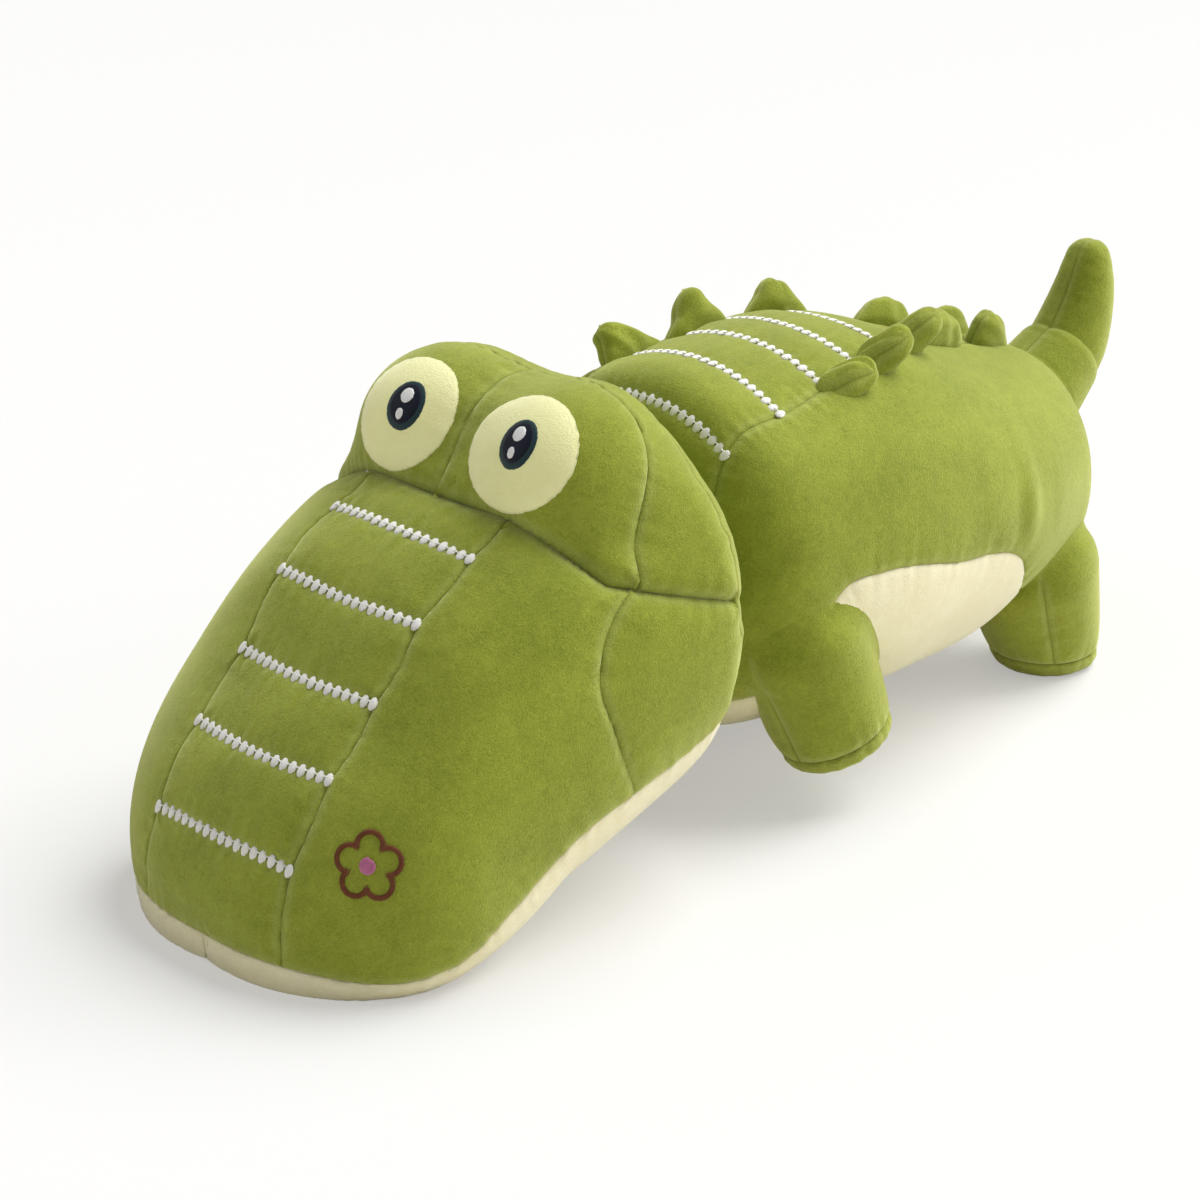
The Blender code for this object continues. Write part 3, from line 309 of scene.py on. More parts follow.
def rings(stations, around):
    """Places of a closed form of rings, given as places along it and ways round it, and its triangles."""
    turns = (np.arange(around) + 0.5) * 2 * math.pi / around
    where = [(station, math.cos(turn), math.sin(turn)) for station in stations[1:-1] for turn in turns]
    where = np.array(where + [(stations[0], 0, 0), (stations[-1], 0, 0)])
    count = len(stations) - 2
    i, j = np.meshgrid(np.arange(count - 1), np.arange(around), indexing="ij")
    a, b = i * around + j, i * around + (j + 1) % around
    c, d = b + around, a + around
    even = ((i + j) % 2 == 0)[..., None]
    first = np.where(even, np.stack([a, b, c], -1), np.stack([a, b, d], -1))
    second = np.where(even, np.stack([a, c, d], -1), np.stack([b, c, d], -1))
    j = np.arange(around)
    k = (j + 1) % around
    start, end = np.full(around, count * around), np.full(around, count * around + 1)
    last = (count - 1) * around
    fans = [np.stack([k, j, start], -1), np.stack([last + j, last + k, end], -1)]
    return where, np.concatenate([first.reshape(-1, 3), second.reshape(-1, 3)] + fans)


def edges_of(tris):
    return np.sort(np.concatenate([tris[:, [0, 1]], tris[:, [1, 2]], tris[:, [2, 0]]]), axis=1)


def outward_ways(points, tris):
    """The outward way at every corner of a mesh."""
    faces = np.cross(points[tris[:, 1]] - points[tris[:, 0]], points[tris[:, 2]] - points[tris[:, 0]])
    ways = np.zeros_like(points)
    for corner in range(3):
        np.add.at(ways, tris[:, corner], faces)
    return ways / np.maximum(np.linalg.norm(ways, axis=1, keepdims=True), 1e-12)


class Form:
    """A stuffed form while its cover is sewn: its corners, its triangles, and the panel that each is in."""

    def __init__(self, surface, where, tris):
        self.surface, self.where, self.tris = surface, where, tris
        self.points = surface(where)
        if (outward_ways(self.points, tris) * (self.points - self.points.mean(0))).sum() < 0:
            self.tris = tris[:, ::-1]
        self.panel = np.zeros(len(tris), int)
        self.sewn = np.zeros(len(where), bool)
        self.lines = []

    def seam(self, field, panel=0, new_panel=None, depth=SEAM_DEPTH, only=None, width=SEAM_WIDTH):
        """Run a seam where field is zero. The nearest corners move onto it, and the side above zero can
        become a panel of its own."""
        inside = self.panel == panel
        values = field(*self.points.T)
        edges = np.unique(edges_of(self.tris[inside]), axis=0)
        if only is not None:
            kept = only(*self.points.T)
            edges = edges[kept[edges[:, 0]] & kept[edges[:, 1]]]
        for settle in (True, False):
            a, b = edges.T
            crossing = values[a] * values[b] < 0
            a, b = a[crossing], b[crossing]
            share = values[a] / (values[a] - values[b])
            first = np.where(self.sewn[a] != self.sewn[b], self.sewn[a] == settle, share < 0.5)
            moved, other = np.where(first, a, b), np.where(first, b, a)
            share = np.where(first, share, 1 - share)
            if settle:
                near = self.sewn[moved] & ((share < 0.4) | self.sewn[other])
                values[moved[near]] = 0
                continue
            order = np.argsort(-share)
            target, amount = np.zeros(len(values), int), np.zeros(len(values))
            target[moved[order]], amount[moved[order]] = other[order], share[order]
            ids = np.unique(moved)
            self.where[ids] += amount[ids][:, None] * (self.where[target[ids]] - self.where[ids])
            self.points[ids] = self.surface(self.where[ids])
            values[ids] = 0
            self.sewn[ids] = True
        if new_panel is not None:
            self.panel[inside & (values[self.tris].sum(1) > 0)] = new_panel
        on_line = edges[(values[edges[:, 0]] == 0) & (values[edges[:, 1]] == 0)]
        self.lines.append((on_line, depth, width))

    def swell(self, puff, puff_reach, extra=None):
        """Move the cover to its sewn shape: down into every seam, and out between them."""
        starts = np.concatenate([self.points[line[:, 0]] for line, depth, width in self.lines])
        ends = np.concatenate([self.points[line[:, 1]] for line, depth, width in self.lines])
        shapes = [np.tile((depth, width), (len(line), 1)) for line, depth, width in self.lines]
        shares = np.linspace(0, 1, 3, endpoint=False)
        self.seam_points = (starts[:, None] + (ends - starts)[:, None] * shares[None, :, None]).reshape(-1, 3)
        self.seam_shapes = np.repeat(np.concatenate(shapes), 3, axis=0)
        self.tree = KDTree(len(self.seam_points))
        for index, point in enumerate(self.seam_points):
            self.tree.insert(point, index)
        self.tree.balance()
        self.puff, self.puff_reach = puff, puff_reach
        self.ways = outward_ways(self.points, self.tris)
        self.rise, self.near = self.rise_at(self.points)
        if extra is not None:
            self.rise += extra(self.points)
        self.sewn_points = self.points + self.ways * self.rise[:, None]
        self.sewn_points[:, 2] = np.maximum(self.sewn_points[:, 2], 0)

    def rise_at(self, points):
        """How far the sewn cover lies outside the plain form, and how near a seam is."""
        found = [self.tree.find(point) for point in points]
        distance = np.array([item[2] for item in found])
        nearest = [item[1] for item in found]
        depth, width = self.seam_shapes[nearest].T
        gathers = rough(self.seam_points[nearest], PUCKER_SIZE, 5) * PUCKER
        gathers *= np.exp(-distance / PUCKER_REACH) * np.minimum(1, distance / CREASE_REACH)
        rise = self.puff * (0.45 - np.exp(-distance / self.puff_reach)) - depth * np.exp(-distance / width)
        return rise + gathers, np.exp(-distance / CREASE_REACH)


def rough(points, size, seed):
    """A soft random height at each point, with swells about that size."""
    dice = np.random.default_rng(seed)
    total = np.zeros(len(points))
    for _ in range(14):
        way = dice.normal(size=3)
        way *= 2 * math.pi / size / np.linalg.norm(way) * dice.uniform(0.5, 1.2)
        total += np.sin(points @ way + dice.uniform(0, 2 * math.pi))
    return total / 14 ** 0.5


def close_material(tree, height, strength, distance, looks):
    """End a material: a height gives its relief, and looks are what its shader is given."""
    bump = tree.add("ShaderNodeBump", inputs={"Height": height, "Strength": strength, "Distance": distance})
    shader = tree.add("ShaderNodeBsdfPrincipled", inputs={"Normal": bump, **looks})
    tree.add("ShaderNodeOutputMaterial", inputs={"Surface": shader})


def grey(value):
    return (value, value, value, 1)


def plush(name, colours, grain=1.0):
    """Short-pile plush: a brushed ground that turns lighter and darker in patches, fine curling pile, and
    a painted highlight beside each seam, whose groove gets painted shade as a thin dark line."""
    deep, fair, pale = colours
    material, tree = new_material(name)
    place = tree.add("ShaderNodeTexCoord", output="Object")
    brushed, nap = tree.noise(place, 24.0, 4.0), tree.noise(place, 120.0, 3.0, 0.8)
    pile, tips = tree.noise(place, 430.0, 3.0, 2.2), tree.noise(place, 1500.0, 1.0)
    seam = tree.add("ShaderNodeAttribute", {"attribute_name": "seam"}, output="Fac")
    shade = (brushed - 0.5) * 0.8 + (nap - 0.5) * 0.45 + (pile - 0.5) * (1.3 * grain) + 0.5
    colour = tree.add("ShaderNodeValToRGB", {"stops": [(0.05, deep), (0.95, fair)]}, {0: shade})
    # A pale painted highlight on the cloth beside each seam, read from how near the seam is.
    seam_highlight = tree.add("ShaderNodeValToRGB", {"stops": [(0.02, grey(0)), (0.2, grey(0.1)), (0.6, grey(0.06))]},
                     {0: seam})
    # Painted shade in each seam's groove: the colour turns dark right on the seam.
    seam_shade = tree.add("ShaderNodeValToRGB", {"stops": [(0.66, grey(0)), (0.98, grey(0.36))]}, {0: seam})
    colour = tree.mixed(seam_highlight, colour, pale)
    colour = tree.mixed(seam_shade, colour, tuple(0.45 * part for part in deep[:3]) + (1,))
    close_material(tree, pile * 0.75 + tips * 0.25, 0.6, 0.0012, {
        "Base Color": colour, "Roughness": pile * 0.12 + 0.82, "Sheen Weight": 1.0, "Sheen Roughness": 0.45,
        "Sheen Tint": pale, "Specular IOR Level": 0.12})
    return material


def into_frame(points):
    return np.asarray(points, float) - np.array([0, TOY_MIDDLE, 0])


def new_piece(name, points, faces, material, seam=None):
    """A finished piece's object, with its place in its mesh."""
    mesh = bpy.data.meshes.new(name)
    mesh.from_pydata(points.tolist(), [], faces)
    mesh.shade_smooth()
    mesh.set_sharp_from_angle(angle=math.radians(55))
    if seam is not None:
        mesh.attributes.new("seam", "FLOAT", "POINT").data.foreach_set("value", seam.astype(np.float32))
    mesh.materials.append(material)
    piece = bpy.data.objects.new(name, mesh)
    scene.collection.objects.link(piece)
    return piece


def panel_piece(name, form, panel, material):
    """One panel of a cover: its cloth outside, the same cloth inside, and its edge turned into the seam."""
    tris = form.tris[form.panel == panel]
    ids, tris = np.unique(tris, return_inverse=True)
    tris = tris.reshape(-1, 3)
    count = len(ids)
    outer, ways = form.sewn_points[ids], form.ways[ids]
    inner = outer - ways * CLOTH_THICKNESS
    lowest = np.where(outer[:, 2] < CLOTH_THICKNESS, outer[:, 2] + CLOTH_THICKNESS, 0)
    inner[:, 2] = np.maximum(inner[:, 2], lowest)
    a, b = np.concatenate([tris[:, [0, 1]], tris[:, [1, 2]], tris[:, [2, 0]]]).T
    rim = ~np.isin(a * count + b, b * count + a)
    a, b = a[rim], b[rim]
    faces = np.concatenate([tris, tris[:, ::-1] + count, np.stack([b, a, a + count], -1),
                            np.stack([b, a + count, b + count], -1)])
    seam = np.concatenate([form.near[ids], form.near[ids]])
    return new_piece(name, into_frame(np.concatenate([outer, inner])), faces.tolist(), material, seam)


def chin_line(x, along, z):
    return z - follow(CHIN_PLACES, CHIN_EDGES, along / HEAD_LENGTH) * HEAD_HEIGHT


def brow_line(x, along, z):
    """The brow's seam: a slanting line before the eyes and one below them, each through a given point."""
    place, height, slope = BROW_FRONT
    behind = (along - place - slope * (height - z)) / math.hypot(1, slope)
    place, height, slope = BROW_SIDE
    above = (z - height + slope * (along - place)) / math.hypot(1, slope)
    return np.minimum(behind, above)


def cheek_line(x, along, z):
    return along - follow(CHEEK_HEIGHTS, CHEEK_ALONGS, z / HEAD_HEIGHT) * HEAD_LENGTH


def crown_line(x, along, z):
    return along - follow(CROWN_HEIGHTS, CROWN_ALONGS, z / HEAD_HEIGHT) * HEAD_LENGTH


def middle_line(x, along, z):
    return x


def head_creases(points):
    """Soft dents all over, small folds where the cheeks are pulled under the jaw, and the brow's fold."""
    x, along, z = points.T
    folds = rough(np.stack([x, along, z * 0.35], -1), 0.012, 31)
    (place, reach), (height, depth) = CHEEK_FOLDS
    under_cheek = np.exp(-((along - place) / reach) ** 2 - ((z - height) / depth) ** 2)
    brow = brow_line(x, along, z)
    tucked = np.exp(-np.abs(brow) / np.where(brow > 0, BROW_FOLD_ABOVE, BROW_FOLD_BELOW))
    dents = FOLD_HEIGHT * folds * under_cheek + FOLD_HEIGHT * rough(points, 0.09, 32)
    return dents - BROW_FOLD * tucked * (z > BROW_FOLD_LOWEST)


row_ends = np.array([-0.02] + [HEAD_LENGTH * (start + bow) for start, bow in SNOUT_ROWS])


def snout_side_line(x, along, z):
    """The edge of the snout's top panel, which bulges between the rows of ovals."""
    scallop = np.abs(np.sin(math.pi * np.interp(along, row_ends, np.arange(len(row_ends)))))
    return np.abs(x) - SNOUT_PANEL_HALF - SNOUT_SCALLOP * scallop


swing = np.linspace(0, 1, 251)
stations = HEAD_LENGTH * crowded_ends(swing, 0.75)
head = Form(head_surface, *rings(stations, 500))
head.seam(chin_line, 0, 1)
head.seam(middle_line, 0, 2, FINE_SEAM)
head.seam(lambda x, along, z: along - NAPE_PLACE, 1, 3, NAPE_SEAM)
head.seam(brow_line, 1, 4, BROW_SEAM_DEPTH, None, BROW_SEAM_WIDTH)
head.seam(snout_side_line, 1, 5)
head.seam(middle_line, 5, 6)
head.seam(cheek_line, 5, 7, FINE_SEAM)
head.seam(cheek_line, 6, 8, FINE_SEAM)
head.seam(crown_line, 4, 9, FINE_SEAM)
head.seam(middle_line, 4, 10, FAINT_SEAM)
for start, bow in SNOUT_ROWS:
    head.seam(lambda x, along, z: along - HEAD_LENGTH * (start + bow * (x / SNOUT_PANEL_HALF) ** 2), 1, None,
              VALLEY_DEPTH, lambda x, along, z: (np.abs(x) < SNOUT_PANEL_HALF - VALLEY_INSET) & (z > 0.02),
              VALLEY_WIDTH)
head.swell(COVER_PUFF, COVER_PUFF_REACH, extra=head_creases)

PLUSHES = {"green_plush": plush("green_plush", GREEN), "cream_plush": plush("cream_plush", CREAM, 0.6)}
green_plush = PLUSHES["green_plush"]


def dress(piece, body, node=None):
    """Attach a piece to the body that carries it, and hide the node that it replaces."""
    if body is not None:
        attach(piece, body)
    if node is not None:
        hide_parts(node)


def sew_covers(form, body, panels):
    """The covers of a form, one from each of its panels. Chin and belly are cream."""
    for number, name in enumerate(panels):
        slot = "cream_plush" if "chin" in name or "belly" in name else "green_plush"
        cover = panel_piece(name.replace("panel", "cover"), form, number, PLUSHES[slot])
        dress(cover, body, name)


sew_covers(head, "head", (
    "chin_panel_right", "snout_top_panel", "chin_panel_left", "nape_panel", "brow_panel_right",
    "snout_side_panel_right", "snout_side_panel_left", "cheek_panel_right", "cheek_panel_left", "crown_panel",
    "brow_panel_left"))

# The filling behind the cover is loose white fibre, packed firm. It only shows if the cover is taken off.
FILLING_DEPTH = 0.009
filling_material, filling_tree = new_material("fibre_filling")
lumps = filling_tree.noise(filling_tree.add("ShaderNodeTexCoord", output="Object"), 90.0, 6.0)
colour = filling_tree.add("ShaderNodeValToRGB", {
    "stops": [(0.3, (0.62, 0.62, 0.60, 1)), (0.7, (0.88, 0.88, 0.86, 1))]}, {0: lumps})
close_material(filling_tree, lumps, 0.6, 0.003, {
    "Base Color": colour, "Roughness": 0.95, "Sheen Weight": 0.3})


def add_filling(body, surface, stations):
    """The filling of head or body, whose surface lies a little inside the cover."""
    form = Form(surface, *rings(stations, 64))
    depth = FILLING_DEPTH + 0.001 * rough(form.points, 0.03, 3)
    points = form.points - outward_ways(form.points, form.tris) * depth[:, None]
    filling = new_piece(body + "_filling", into_frame(points), form.tris.tolist(), filling_material)
    dress(filling, body, body + "_stuffing")


add_filling("head", head_surface, stations[::5])

# ----------------------------------------------------------
# The body: a firm stuffed barrel that narrows to the tail. A green back panel runs down its middle, a
# green panel covers each flank and a cream one lies under the belly, all sewn like the head's.
# ----------------------------------------------------------
BODY_START = 0.324
BODY_END = 0.716
BODY_LENGTH = BODY_END - BODY_START
BODY_FRONT_ROUNDING, BODY_FRONT_ROUNDNESS = 0.14, 3.2
BODY_REAR_ROUNDING = 0.2
BODY_ROUNDNESS = 2.1
BODY_HALF_WIDTH = 0.124
BODY_HALF_HEIGHT = 0.118
BODY_AXIS_HEIGHT = 0.139
BODY_PLACES = (0.0, 0.066, 0.194, 0.321, 0.449, 0.577, 0.704, 0.832, 0.934, 1.0)
BODY_WIDTHS = (0.86, 0.9, 0.97, 1.0, 1.0, 0.98, 0.89, 0.74, 0.6, 0.53)
BODY_DEPTHS = (0.9, 0.93, 0.95, 0.98, 0.955, 0.865, 0.75, 0.67, 0.64, 0.62)
BODY_AXIS = (1.0, 1.005, 1.007, 1.004, 0.986, 0.943, 0.928, 0.895, 0.88, 0.87)
BACK_PLACES = (0.0, 0.13, 0.25, 0.38, 0.5, 0.64, 0.8, 1.0)
BACK_WIDTHS = (1.0, 1.08, 1.03, 0.92, 0.74, 0.42, 0.3, 0.14)
BELLY_PLACES = (0.0, 0.07, 0.105, 0.145, 0.237, 0.308, 0.421, 0.488, 0.545, 0.581, 0.628, 0.704, 0.832, 1.0)
BELLY_TOPS = (0.4, 0.55, 0.8, 0.962, 1.017, 0.996, 0.923, 0.9, 0.853, 0.785, 0.61, 0.446, 0.36, 0.29)
BACK_ROWS = (0.045, 0.153, 0.26, 0.352, 0.449)
BACK_START, BACK_LENGTH, BACK_HALF_WIDTH, BACK_LOWEST = 0.34, 0.34, 0.062, 0.165
FLANK_FOLDS = ((0.55, 0.035), (0.145, 0.03))
FLANK_FOLD_HEIGHT, FLANK_DENT = 0.0011, 0.001


def body_section(along):
    share = np.clip((along - BODY_START) / BODY_LENGTH, 0, 1)
    front = np.clip(1 - (along - BODY_START) / (BODY_LENGTH * BODY_FRONT_ROUNDING), 0, 1)
    ends = (1 - front ** BODY_FRONT_ROUNDNESS) ** (1 / BODY_FRONT_ROUNDNESS)
    ends = ends * round_end(BODY_END - along, BODY_LENGTH * BODY_REAR_ROUNDING)
    width = follow(BODY_PLACES, BODY_WIDTHS, share) * BODY_HALF_WIDTH * ends
    depth = follow(BODY_PLACES, BODY_DEPTHS, share) * BODY_HALF_HEIGHT * ends
    return width, depth, follow(BODY_PLACES, BODY_AXIS, share) * BODY_AXIS_HEIGHT


def body_surface(where):
    along, angle = where[:, 0], np.arctan2(where[:, 2], where[:, 1])
    width, depth, axis = body_section(along)
    radius = section_radius(angle, width, depth, depth, BODY_ROUNDNESS, BODY_ROUNDNESS)
    return np.stack([radius * np.cos(angle), along, axis + radius * np.sin(angle)], -1)


def body_outside(x, along, z):
    width, depth, axis = body_section(along)
    radius = section_radius(np.arctan2(z - axis, x), width, depth, depth, BODY_ROUNDNESS, BODY_ROUNDNESS)
    ends = np.maximum(BODY_START - along, along - BODY_END)
    return np.maximum(np.hypot(x, z - axis) - radius, ends)


def back_half(along):
    share = np.clip((along - BACK_START) / BACK_LENGTH, 0, 1)
    return follow(BACK_PLACES, BACK_WIDTHS, share) * BACK_HALF_WIDTH


def back_line(x, along, z):
    return np.maximum(np.abs(x) - back_half(along), BACK_LOWEST - z)


def belly_line(x, along, z):
    share = np.clip((along - BODY_START) / BODY_LENGTH, 0, 1)
    return follow(BELLY_PLACES, BELLY_TOPS, share) * BODY_AXIS_HEIGHT - z


def flank_creases(points):
    """The light pulls in the flanks: upright folds over the belly's end, and soft dents all over."""
    x, along, z = points.T
    folds = rough(np.stack([x * 0.3, along, z * 0.12], -1), 0.02, 21)
    (place, reach), (height, depth) = FLANK_FOLDS
    over_belly = np.exp(-((along - place) / reach) ** 2 - ((z - height) / depth) ** 2)
    return FLANK_FOLD_HEIGHT * folds * over_belly + FLANK_DENT * rough(points, 0.11, 22)


body_stations = BODY_START + BODY_LENGTH * crowded_ends(swing, 0.7)
body = Form(body_surface, *rings(body_stations, 420))
body.seam(back_line, 0, 1, FINE_SEAM)
body.seam(belly_line, 1, 2)
body.seam(middle_line, 1, 3, 0.001)
for share in BACK_ROWS:
    body.seam(lambda x, along, z: along - BODY_START - share * BODY_LENGTH, 0, None, VALLEY_DEPTH,
              lambda x, along, z: np.abs(x) < back_half(along) - VALLEY_INSET, VALLEY_WIDTH)
body.swell(COVER_PUFF, COVER_PUFF_REACH, extra=flank_creases)
sew_covers(body, "body", ("back_panel", "flank_panel_right", "belly_panel", "flank_panel_left"))
add_filling("body", body_surface, body_stations[::5])

# The neck is a short plug of filling in a green sleeve, out of sight between head and body.
NECK_START, NECK_END = 0.292, 0.354
NECK_STATIONS = (NECK_START, 0.2925, 0.297, 0.305, 0.314, 0.323, 0.332, 0.341, 0.349, 0.3535, NECK_END)
NECK_RADIUS, NECK_HEIGHT, NECK_ROUNDING = 0.062, 0.15, 0.022


def neck_surface(where):
    along, angle = where[:, 0], np.arctan2(where[:, 2], where[:, 1])
    radius = NECK_RADIUS * round_end(along - NECK_START, NECK_ROUNDING)
    radius = radius * round_end(NECK_END - along, NECK_ROUNDING)
    return np.stack([radius * np.cos(angle), along, NECK_HEIGHT + radius * np.sin(angle)], -1)


neck = Form(neck_surface, *rings(np.array(NECK_STATIONS), 48))
neck_sleeve = new_piece("neck_sleeve", into_frame(neck.points), neck.tris.tolist(), green_plush)
dress(neck_sleeve, "neck", "neck_stuffing")

# ----------------------------------------------------------
# The legs: four stuffed stumps that run out of the flanks, each closed by a round sole with a seam all
# round. A leg's table holds its root, its foot, the sole's way, its blend, its front and its radii.
# ----------------------------------------------------------
LEGS = {
    "front_leg": ((0.089, 0.379, 0.098), (0.1026, 0.403, 0.0306), None, 0.009, (0, -1, 0), (0.039, 0.035)),
    "rear_leg": ((0.067, 0.6254, 0.07), (0.067, 0.647, 0.0), (0, 0, -1), 0.006, (0.76, -0.65, 0),
                 (0.042, 0.034)),
}
SOLE_HEIGHT = 0.011
SOLE_SEAM = 0.001
LEG_REACH = 0.075
LEG_BEND_START, LEG_BEND_END = 0.06, 0.018
LIMB_EDGE = 0.012
LIMB_TURN = 2.5
LIMB_LAP = 0.0003
LIMB_STEPS = 40
LIMB_DEPTH = 0.012
LIMB_PUFF, LIMB_PUFF_REACH = 0.003, 0.01
LIMB_TUCK = 0.0012
LIMB_FADE, BODY_SWELL_REACH = 0.012, 0.008
OUT_OF_SIGHT = 9


def limb_body(x, along, z):
    """The body that a limb grows out of: its true form at the flank, and a smaller one lower down, so that
    a limb runs on inside the belly and shows no edge when it swings."""
    return body_outside(x, along, z) + LIMB_DEPTH * np.clip((0.08 - z) / 0.03, 0, 1)


def limb_form(root, end, root_radius, end_radius, sole_way, blend, reach):
    """A limb that grows out of the body, as a fan of rays from its root. Without a way of its own, the sole
    is square to the limb."""
    length = np.linalg.norm(end - root)
    way = (end - root) / length
    sole_way = way if sole_way is None else np.array(sole_way, float)

    def outside(points):
        offset = points - root
        share = np.clip(offset @ way / length, 0, 1.5)
        middle = root + np.outer(share * length, way)
        limb = np.linalg.norm(points - middle, axis=1) - (root_radius + (end_radius - root_radius) * share)
        limb = -softly_joined(-limb, -((points - end) @ sole_way), LIMB_EDGE)
        return softly_joined(limb, limb_body(*points.T), blend)

    def surface(where):
        rays = where / np.maximum(np.linalg.norm(where, axis=1, keepdims=True), 1e-9)
        tilt = rays @ way
        most = np.where(tilt > 0.05, reach + length, reach)
        low, within = 0 * tilt, np.ones(len(rays), bool)
        for step in range(1, LIMB_STEPS):
            within &= outside(root + rays * (most * step / LIMB_STEPS)[:, None]) < 0
            low = np.where(within, most * step / LIMB_STEPS, low)
        low = last_inside(lambda far: outside(root + rays * far[:, None]) < 0,
                          low, low + most / LIMB_STEPS, 20)
        off_axis = np.sqrt(np.maximum(1 - tilt ** 2, 1e-9))
        low = np.minimum(low, reach / np.maximum(off_axis, 0.3))
        return root + rays * low[:, None]

    profile = [(length, end_radius * share) for share in (0.15, 0.3, 0.45, 0.6, 0.72, 0.82, 0.9, 0.96)]
    profile += [(length - 0.0016 * step, end_radius) for step in range(int(length / 0.0016))]
    tilts = [math.atan2(radius, height) for height, radius in profile]
    tilts += list(np.linspace(math.pi / 2, LIMB_TURN, 36))
    side = np.cross(way, (0, 1, 0) if abs(way[1]) < 0.9 else (1, 0, 0))
    side /= np.linalg.norm(side)
    over = np.cross(way, side)
    where, tris = rings(np.array([0] + tilts + [math.pi]), 180)
    rays = np.outer(np.cos(where[:, 0]), way)
    rays += np.sin(where[:, 0])[:, None] * (np.outer(where[:, 1], side) + np.outer(where[:, 2], over))
    return Form(surface, rays, tris), way, length


def sew_limb(form):
    """Give a limb its sewn shape. Near the body it follows the body's own swelling, so that the two run
    into each other, and what would lie under the body's cover goes to a panel that is left out."""
    form.seam(lambda x, along, z: LIMB_LAP - limb_body(x, along, z), 0, OUT_OF_SIGHT, 0)
    form.lines.pop()
    form.swell(LIMB_PUFF, LIMB_PUFF_REACH)
    clear = np.maximum(body_outside(*form.points.T), 0)
    rise, near = body.rise_at(form.points)
    body_rise = (rise + flank_creases(form.points)) * np.exp(-clear / BODY_SWELL_REACH)
    fade = np.minimum(1, clear / LIMB_FADE)
    form.near = form.near * fade
    tucked = LIMB_TUCK * np.exp(-clear / LIMB_TUCK)
    form.sewn_points = form.points + form.ways * (form.rise * fade + body_rise - tucked)[:, None]
    form.sewn_points[:, 2] = np.maximum(form.sewn_points[:, 2], 0)


def beyond(point, way):
    """How far places lie beyond a flat cut through a point, square to a way."""
    return lambda x, along, z: (np.stack([x, along, z], -1) - point) @ way


for word, (root, foot, sole_way, blend, facing, radii) in LEGS.items():
    for name, side in ((word + "_left", 1), (word + "_right", -1)):
        near_root, near_foot, front = [np.array(item) * (side, 1, 1) for item in (root, foot, facing)]
        form, way, length = limb_form(near_root, near_foot, *radii, sole_way, blend, LEG_REACH)
        sole_cut = beyond(near_foot, way if sole_way is None else np.array(sole_way))
        form.seam(lambda x, along, z: sole_cut(x, along, z) + SOLE_HEIGHT, 0, 1, SOLE_SEAM)
        form.seam(beyond(near_root, np.cross(way, front)), 0, None, FAINT_SEAM,
                  lambda x, along, z: beyond(near_root, front)(x, along, z) > 0.01)
        sew_limb(form)
        cover = panel_piece(name + "_cover", form, 0, green_plush)
        dress(cover, None, name)
        leg_root, leg_way = Vector(into_frame(near_root)), Vector(way)
        leg_root + leg_way * (length - LEG_BEND_START)
        leg_root + leg_way * (length - LEG_BEND_END)
        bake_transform(cover)
        sole = panel_piece(name + "_sole_cover", form, 1, green_plush)
        dress(sole, name, name + "_sole")

# ----------------------------------------------------------
# The tail: a stuffed root that grows out of the rump, and a tapering tip sewn into its open end, turned up.
# ----------------------------------------------------------
TAIL_ROOT = np.array([0.0, 0.698, 0.148])
TAIL_CREASE = np.array([0.0, 0.739, 0.176])
TAIL_BASE_LENGTH = 0.04965
TAIL_BASE_RADII = (0.033, 0.0268)
TAIL_BLEND, TAIL_REACH, TAIL_BEND = 0.01, 0.06, 0.03
form, way, length = limb_form(TAIL_ROOT, TAIL_CREASE, *TAIL_BASE_RADII,
                              (TAIL_CREASE - TAIL_ROOT) / TAIL_BASE_LENGTH, TAIL_BLEND, TAIL_REACH)
form.seam(middle_line, 0, None, FAINT_SEAM)
sew_limb(form)
tail_base = panel_piece("tail_base_cover", form, 0, green_plush)
dress(tail_base, None, "tail_base")
tail_root, tail_way = Vector(into_frame(TAIL_ROOT)), Vector(way)
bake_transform(tail_base)

TAIL_PATH_PLACES = (0.0, 0.2, 0.45, 0.75, 1.0)
TAIL_PATH_ALONG = (0.728, 0.741, 0.7525, 0.7575, 0.7565)
TAIL_PATH_HEIGHT = (0.165, 0.180, 0.204, 0.228, 0.2465)
TAIL_PATH_RADIUS = (0.0255, 0.0250, 0.0212, 0.0162, 0.0110)
TAIL_PUFF = 0.002


def tail_path(share):
    """The tail's middle line: its place along the toy and its height."""
    return follow(TAIL_PATH_PLACES, TAIL_PATH_ALONG, share), follow(TAIL_PATH_PLACES, TAIL_PATH_HEIGHT, share)


def tail_surface(where):
    share, angle = where[:, 0], np.arctan2(where[:, 2], where[:, 1])
    (along, height), after, before = tail_path(share), tail_path(share + 0.01), tail_path(share - 0.01)
    ahead, up = after[0] - before[0], after[1] - before[1]
    run = np.hypot(ahead, up)
    radius = follow(TAIL_PATH_PLACES, TAIL_PATH_RADIUS, share)
    radius = radius * round_end(share, 0.1) * round_end(1 - share, 0.15)
    back = radius * np.sin(angle)
    return np.stack([radius * np.cos(angle), along + back * up / run, height - back * ahead / run], -1)


form = Form(tail_surface, *rings(crowded_ends(swing[::2], 0.8), 96))
form.seam(middle_line, 0, None, FAINT_SEAM)
form.swell(TAIL_PUFF, LIMB_PUFF_REACH)
tail_tip = new_piece("tail_tip_cover", into_frame(form.sewn_points), form.tris.tolist(), green_plush,
                     form.near)
dress(tail_tip, "tail_tip", "tail_tip")

